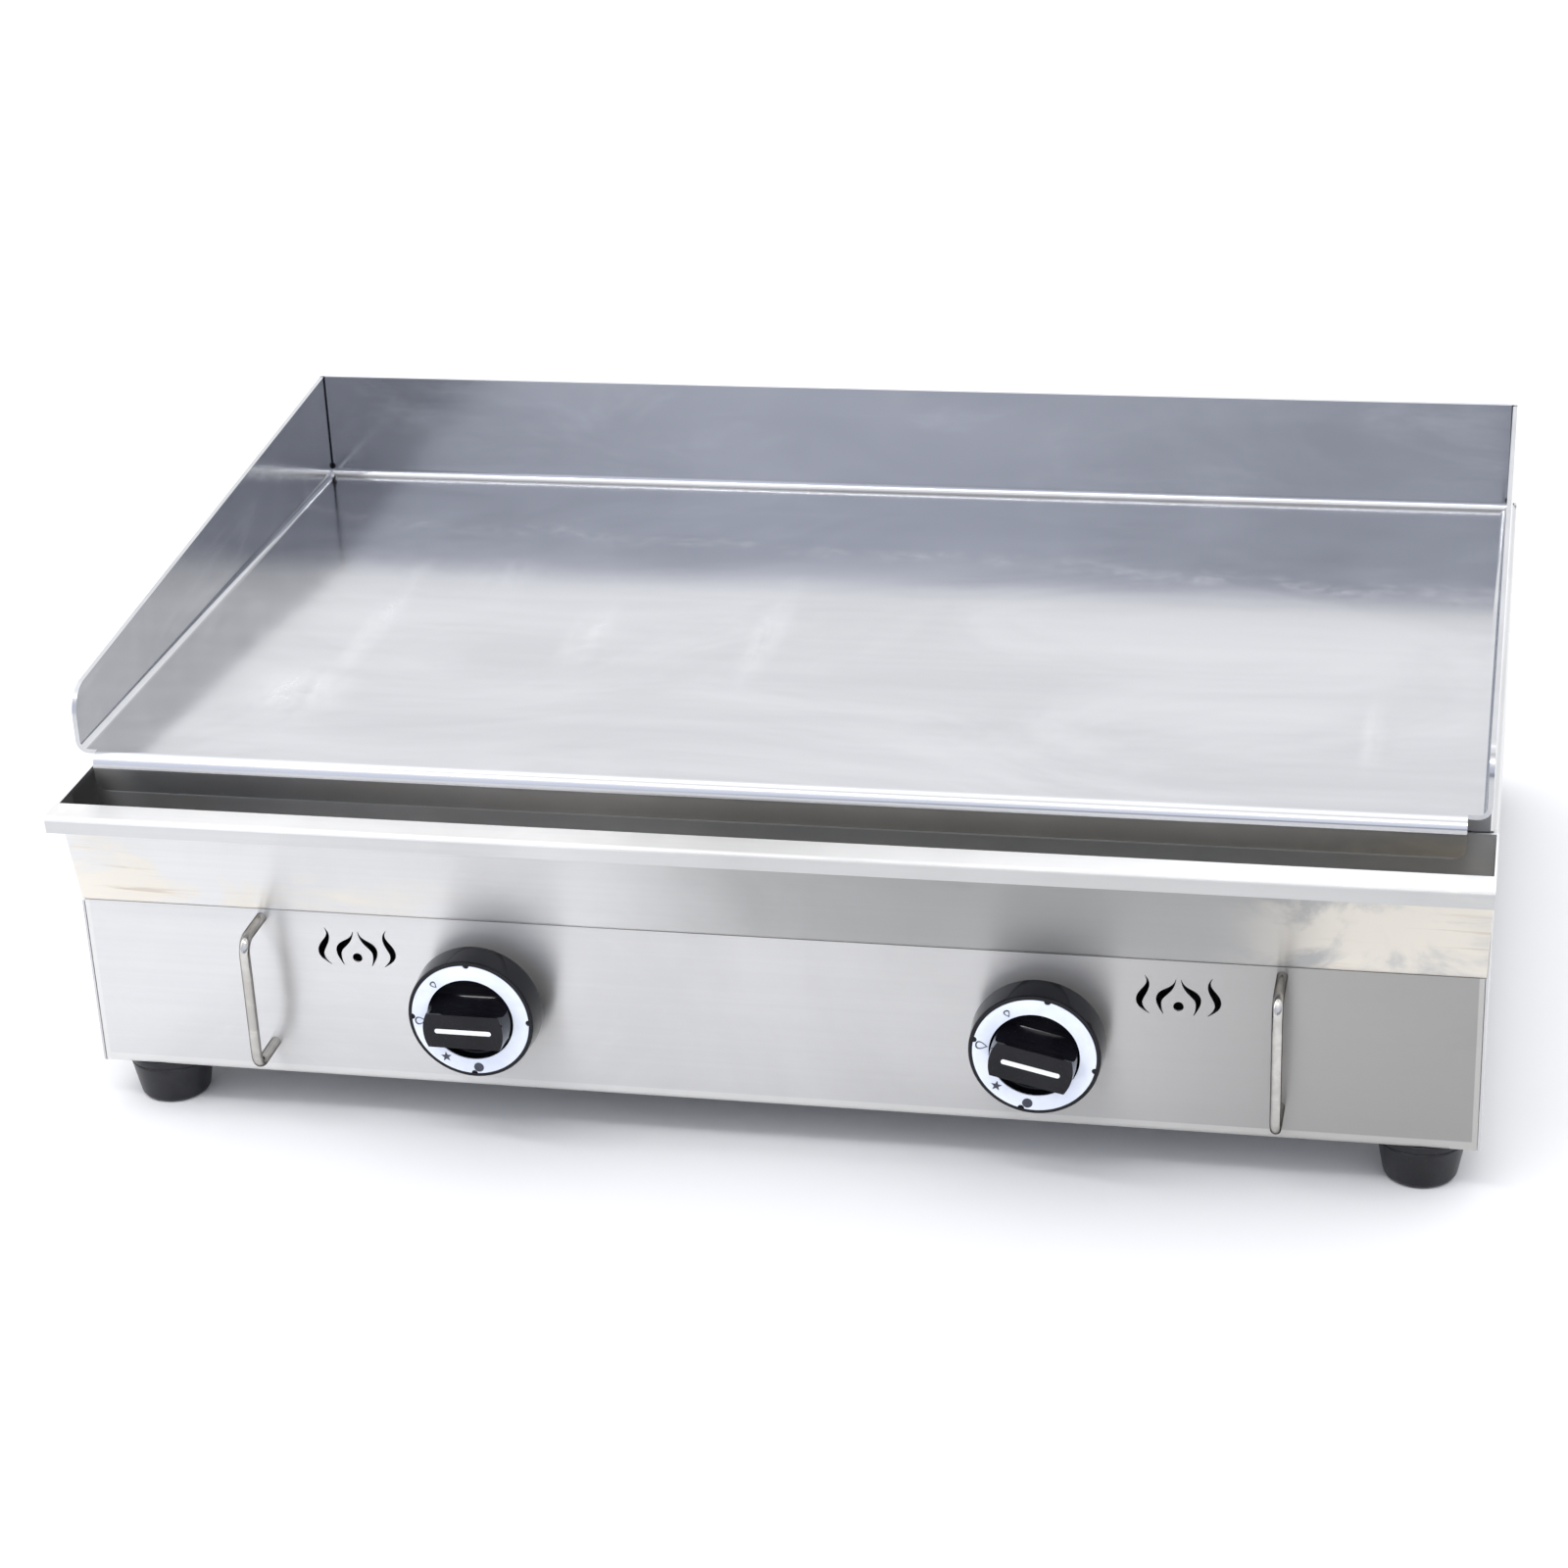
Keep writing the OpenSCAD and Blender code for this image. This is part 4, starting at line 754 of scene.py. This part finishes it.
def makeKnob(look):
    skirt = turnedShape("knobSkirt", look["skirt"], look["sides"], closeEnd=True)
    web = turnedShape("knobWeb", look["web"], look["sides"])
    hub = turnedShape("knobHub", look["hub"], look["hubSides"])
    deselectAll()
    footRadius, footHeight = look["gripFoot"]
    topRadius, topHeight = look["gripTop"]
    bpy.ops.mesh.primitive_cone_add(vertices=look["sides"], radius1=footRadius * mm, radius2=topRadius * mm,
                                    depth=(topHeight - footHeight) * mm, end_fill_type="NGON",
                                    location=(0, 0, (topHeight + footHeight) / 2 * mm))
    grip = bpy.context.object
    settle(grip)
    deselectAll()
    halfBlock = look["block"] / 2
    for side in (-1, 1):
        flankPlace = (0, side * look["flankAway"] * mm, look["flankHeight"] * mm)
        bpy.ops.mesh.primitive_cylinder_add(vertices=look["flankSides"], radius=look["flank"] * mm,
                                            depth=look["cutterLong"] * mm, location=flankPlace,
                                            rotation=(0, math.radians(90), 0))
        cutAway(grip, bpy.context.object)
        blockPlace = (0, side * (look["faceHalf"] + halfBlock) * mm, (look["faceFrom"] + halfBlock) * mm)
        bpy.ops.mesh.primitive_cube_add(size=look["block"] * mm, location=blockPlace)
        cutAway(grip, bpy.context.object)
    applyModifier(grip, "BEVEL", width=look["edge"] * mm, segments=look["edgeSteps"], limit_method="ANGLE",
                  angle_limit=math.radians(look["corner"]), use_clamp_overlap=True)
    return joinPieces("knob", skirt, web, hub, grip)


knob = makeKnob(knobShape)
smoothBy(knob, knobShape["smooth"])
giveMaterial(knob, knobBlack)
outwards = Matrix.Rotation(math.radians(90), 4, "X")
for side, sign in (("left", -1), ("right", 1)):
    turn = outwards @ Matrix.Rotation(math.radians(knobShape["turns"][side]), 4, "Z")
    sideKnob = meshCopy(knob, side + "ControlKnob", (sign * knobAxisX, panelFace, knobAxisZ), turn)
    standFor(sideKnob, "knob_black", side + "_knob")
bpy.data.objects.remove(knob)
print("knobs made")

# bar handles, in mm; the stub passes through the panel
handleShape = {"bar": 2.8, "bend": 8.0, "reach": 28.2, "halfPitch": 37.0, "stub": 2.5, "stubEnd": 9.0,
               "shoulder": 0.05, "sides": 28, "bendSteps": 10, "merge": 0.002, "smooth": 40}


# one round bar, from its lower tail behind the panel round both bends to the upper tail
def makeHandle(look):
    low = -look["halfPitch"]
    high = look["halfPitch"]
    wide = look["bar"] / look["stub"]
    straight = look["reach"] - look["bend"]
    deselectAll()
    bpy.ops.mesh.primitive_circle_add(vertices=look["sides"], radius=look["stub"] * mm, fill_type="NGON",
                                      location=(0, look["stubEnd"] * mm, low * mm),
                                      rotation=(math.radians(90), 0, 0))
    piece = bpy.context.object
    settle(piece)
    bpy.ops.object.mode_set(mode="EDIT")
    bpy.ops.mesh.select_all(action="SELECT")

    def push(move, grow=1.0, pivot=(0, 0, 0)):
        bpy.ops.mesh.extrude_region_move(TRANSFORM_OT_translate={"value": [step * mm for step in move]})
        if grow != 1.0:
            bpy.ops.transform.resize(value=(grow, grow, grow),
                                     center_override=[place * mm for place in pivot])

    def bendAt(height):
        bpy.ops.mesh.spin(steps=look["bendSteps"], angle=math.radians(90), axis=(1, 0, 0),
                          center=(0, -straight * mm, height * mm))

    push((0, -look["stubEnd"], 0))
    push((0, -look["shoulder"], 0), wide, (0, -look["shoulder"], low))
    push((0, look["shoulder"] - straight, 0))
    bendAt(low + look["bend"])
    push((0, 0, 2 * (high - look["bend"])))
    bendAt(high - look["bend"])
    push((0, straight - look["shoulder"], 0))
    push((0, look["shoulder"], 0), 1 / wide, (0, 0, high))
    push((0, look["stubEnd"], 0))
    bpy.ops.mesh.select_all(action="SELECT")
    bpy.ops.mesh.remove_doubles(threshold=look["merge"] * mm)
    bpy.ops.mesh.normals_make_consistent(inside=False)
    bpy.ops.object.mode_set(mode="OBJECT")
    return piece


handle = makeHandle(handleShape)
smoothBy(handle, handleShape["smooth"], weighted=False)
giveMaterial(handle, polishedSteel)
handleX = (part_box("right_handle")[0].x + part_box("right_handle")[1].x) / 2
for side, sign in (("left", -1), ("right", 1)):
    sideHandle = meshCopy(handle, side + "BarHandle", (sign * handleX, panelFace, knobAxisZ))
    standFor(sideHandle, "handle_polished", side + "_handle")
print("handles made", [round(c / mm, 1) for c in handle.dimensions])
bpy.data.objects.remove(handle)

# rubber feet, in mm from the floor
footShape = {
    "outline": [(3.1, 14.0), (7.0, 14.0), (7.0, 1.0), (7.4, 0.3), (8.2, 0.0), (15.4, 0.0), (16.8, 0.3),
                (17.9, 1.0), (18.6, 2.0), (19.0, 3.3), (22.2, 20.4), (22.4, 21.3), (22.3, 21.75),
                (22.0, 22.05), (21.95, 22.4), (22.2, 22.75), (22.7, 23.1), (22.95, 23.5), (23.2, 25.9),
                (23.1, 26.5), (22.6, 27.0), (3.1, 27.0)],
    "sides": 72, "smooth": 36,
}
foot = turnedShape("foot", footShape["outline"], footShape["sides"])
smoothBy(foot, footShape["smooth"])
giveMaterial(foot, footRubber)
for place in ("front_left", "front_right", "rear_left", "rear_right"):
    low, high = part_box(place + "_foot")
    shift = ((low.x + high.x) / 2, (low.y + high.y) / 2, low.z)
    first, second = place.split("_")
    corner = meshCopy(foot, first + second.capitalize() + "RubberFoot", shift)
    standFor(corner, "foot_rubber", place + "_foot")
bpy.data.objects.remove(foot)
print("feet made")

# floor, camera and studio light
floorLook = {"size": 80, "colour": (0.80, 0.80, 0.80), "rough": 0.9, "shine": 0.1}
deselectAll()
bpy.ops.mesh.primitive_plane_add(size=floorLook["size"], location=(0, 0, 0))
floor = bpy.context.object
floor.name = "studioFloor"
floorPaint, _, floorShader = newMaterial("paleFloor")
floorShader.inputs["Base Color"].default_value = floorLook["colour"] + (1,)
floorShader.inputs["Roughness"].default_value = floorLook["rough"]
floorShader.inputs["Specular IOR Level"].default_value = floorLook["shine"]
giveMaterial(floor, floorPaint)

cameraView = {"at": (0.3727, -1.8089, 0.9482), "turn": (64.103, 2.601, 12.069), "sensor": 36, "lens": 81.76,
              "shift": (0.01875, 0.05)}
cameraData = bpy.data.cameras.new("mainCamera")
cameraData.sensor_width = cameraView["sensor"]
cameraData.lens = cameraView["lens"]
cameraData.shift_x, cameraData.shift_y = cameraView["shift"]
camera = bpy.data.objects.new("mainCamera", cameraData)
camera.location = cameraView["at"]
camera.rotation_euler = [math.radians(a) for a in cameraView["turn"]]
scene.collection.objects.link(camera)
scene.camera = camera

# the sky is white behind, cooler in front, shaded low in front and to the right, and even overhead
skyLook = {"back": (1.38, 1.39, 1.42), "backHigh": (1.75, 1.76, 1.80), "backSpan": (0.35, 0.95),
           "front": (1.00, 1.05, 1.22), "frontHigh": (1.80, 1.80, 1.82), "frontSpan": (0.45, 0.92),
           "rightShade": 0.70, "rightSpan": (-0.28, -0.12), "lowSpan": (0.30, 0.18),
           "horizon": (0.30, 0.32, 0.36), "turnSpan": (-0.30, 0.30),
           "zenith": (1.15, 1.15, 1.17), "zenithSpan": (0.90, 0.98)}
world = bpy.data.worlds.new("studioSky")
scene.world = world
world.use_nodes = True
sky = world.node_tree
skyX, skyY, skyZ = apart(sky, put(sky, "ShaderNodeTexCoord").outputs["Generated"])
backTone = blendColour(sky, remap(sky, skyZ, *skyLook["backSpan"]), skyLook["back"], skyLook["backHigh"])
frontTone = blendColour(sky, remap(sky, skyZ, *skyLook["frontSpan"]), skyLook["front"], skyLook["frontHigh"])
rightSide = times(sky, remap(sky, skyX, *skyLook["rightSpan"], 0.0, skyLook["rightShade"]),
                  remap(sky, skyZ, *skyLook["lowSpan"]))
frontTone = blendColour(sky, rightSide, frontTone, skyLook["horizon"])
skyTone = blendColour(sky, remap(sky, skyY, *skyLook["turnSpan"]), frontTone, backTone)
skyTone = blendColour(sky, remap(sky, skyZ, *skyLook["zenithSpan"]), skyTone, skyLook["zenith"])
sky.links.new(skyTone, sky.nodes["Background"].inputs["Color"])
sky.nodes["Background"].inputs["Strength"].default_value = 1.0

# place, turn in degrees, width and height, power in watts
lamps = {"overheadSoftbox": ((0.1, 0.35, 2.3), (-8, 0, 0), (2.4, 1.4), 5.0),
         "frontStrip": ((-0.35, -1.0, 1.5), (36.5, 0, -10), (1.6, 0.07), 7.0),
         "leftSoftbox": ((-2.2, -0.7, 1.5), (55, 0, -72), (1.2, 1.6), 7.0)}
for lampName, (at, turn, size, power) in lamps.items():
    lampData = bpy.data.lights.new(lampName, "AREA")
    lampData.shape = "RECTANGLE"
    lampData.size, lampData.size_y = size
    lampData.energy = power
    lamp = bpy.data.objects.new(lampName, lampData)
    lamp.location = at
    lamp.rotation_euler = [math.radians(a) for a in turn]
    scene.collection.objects.link(lamp)
scene.view_settings.view_transform = "Standard"
print("studio ready")
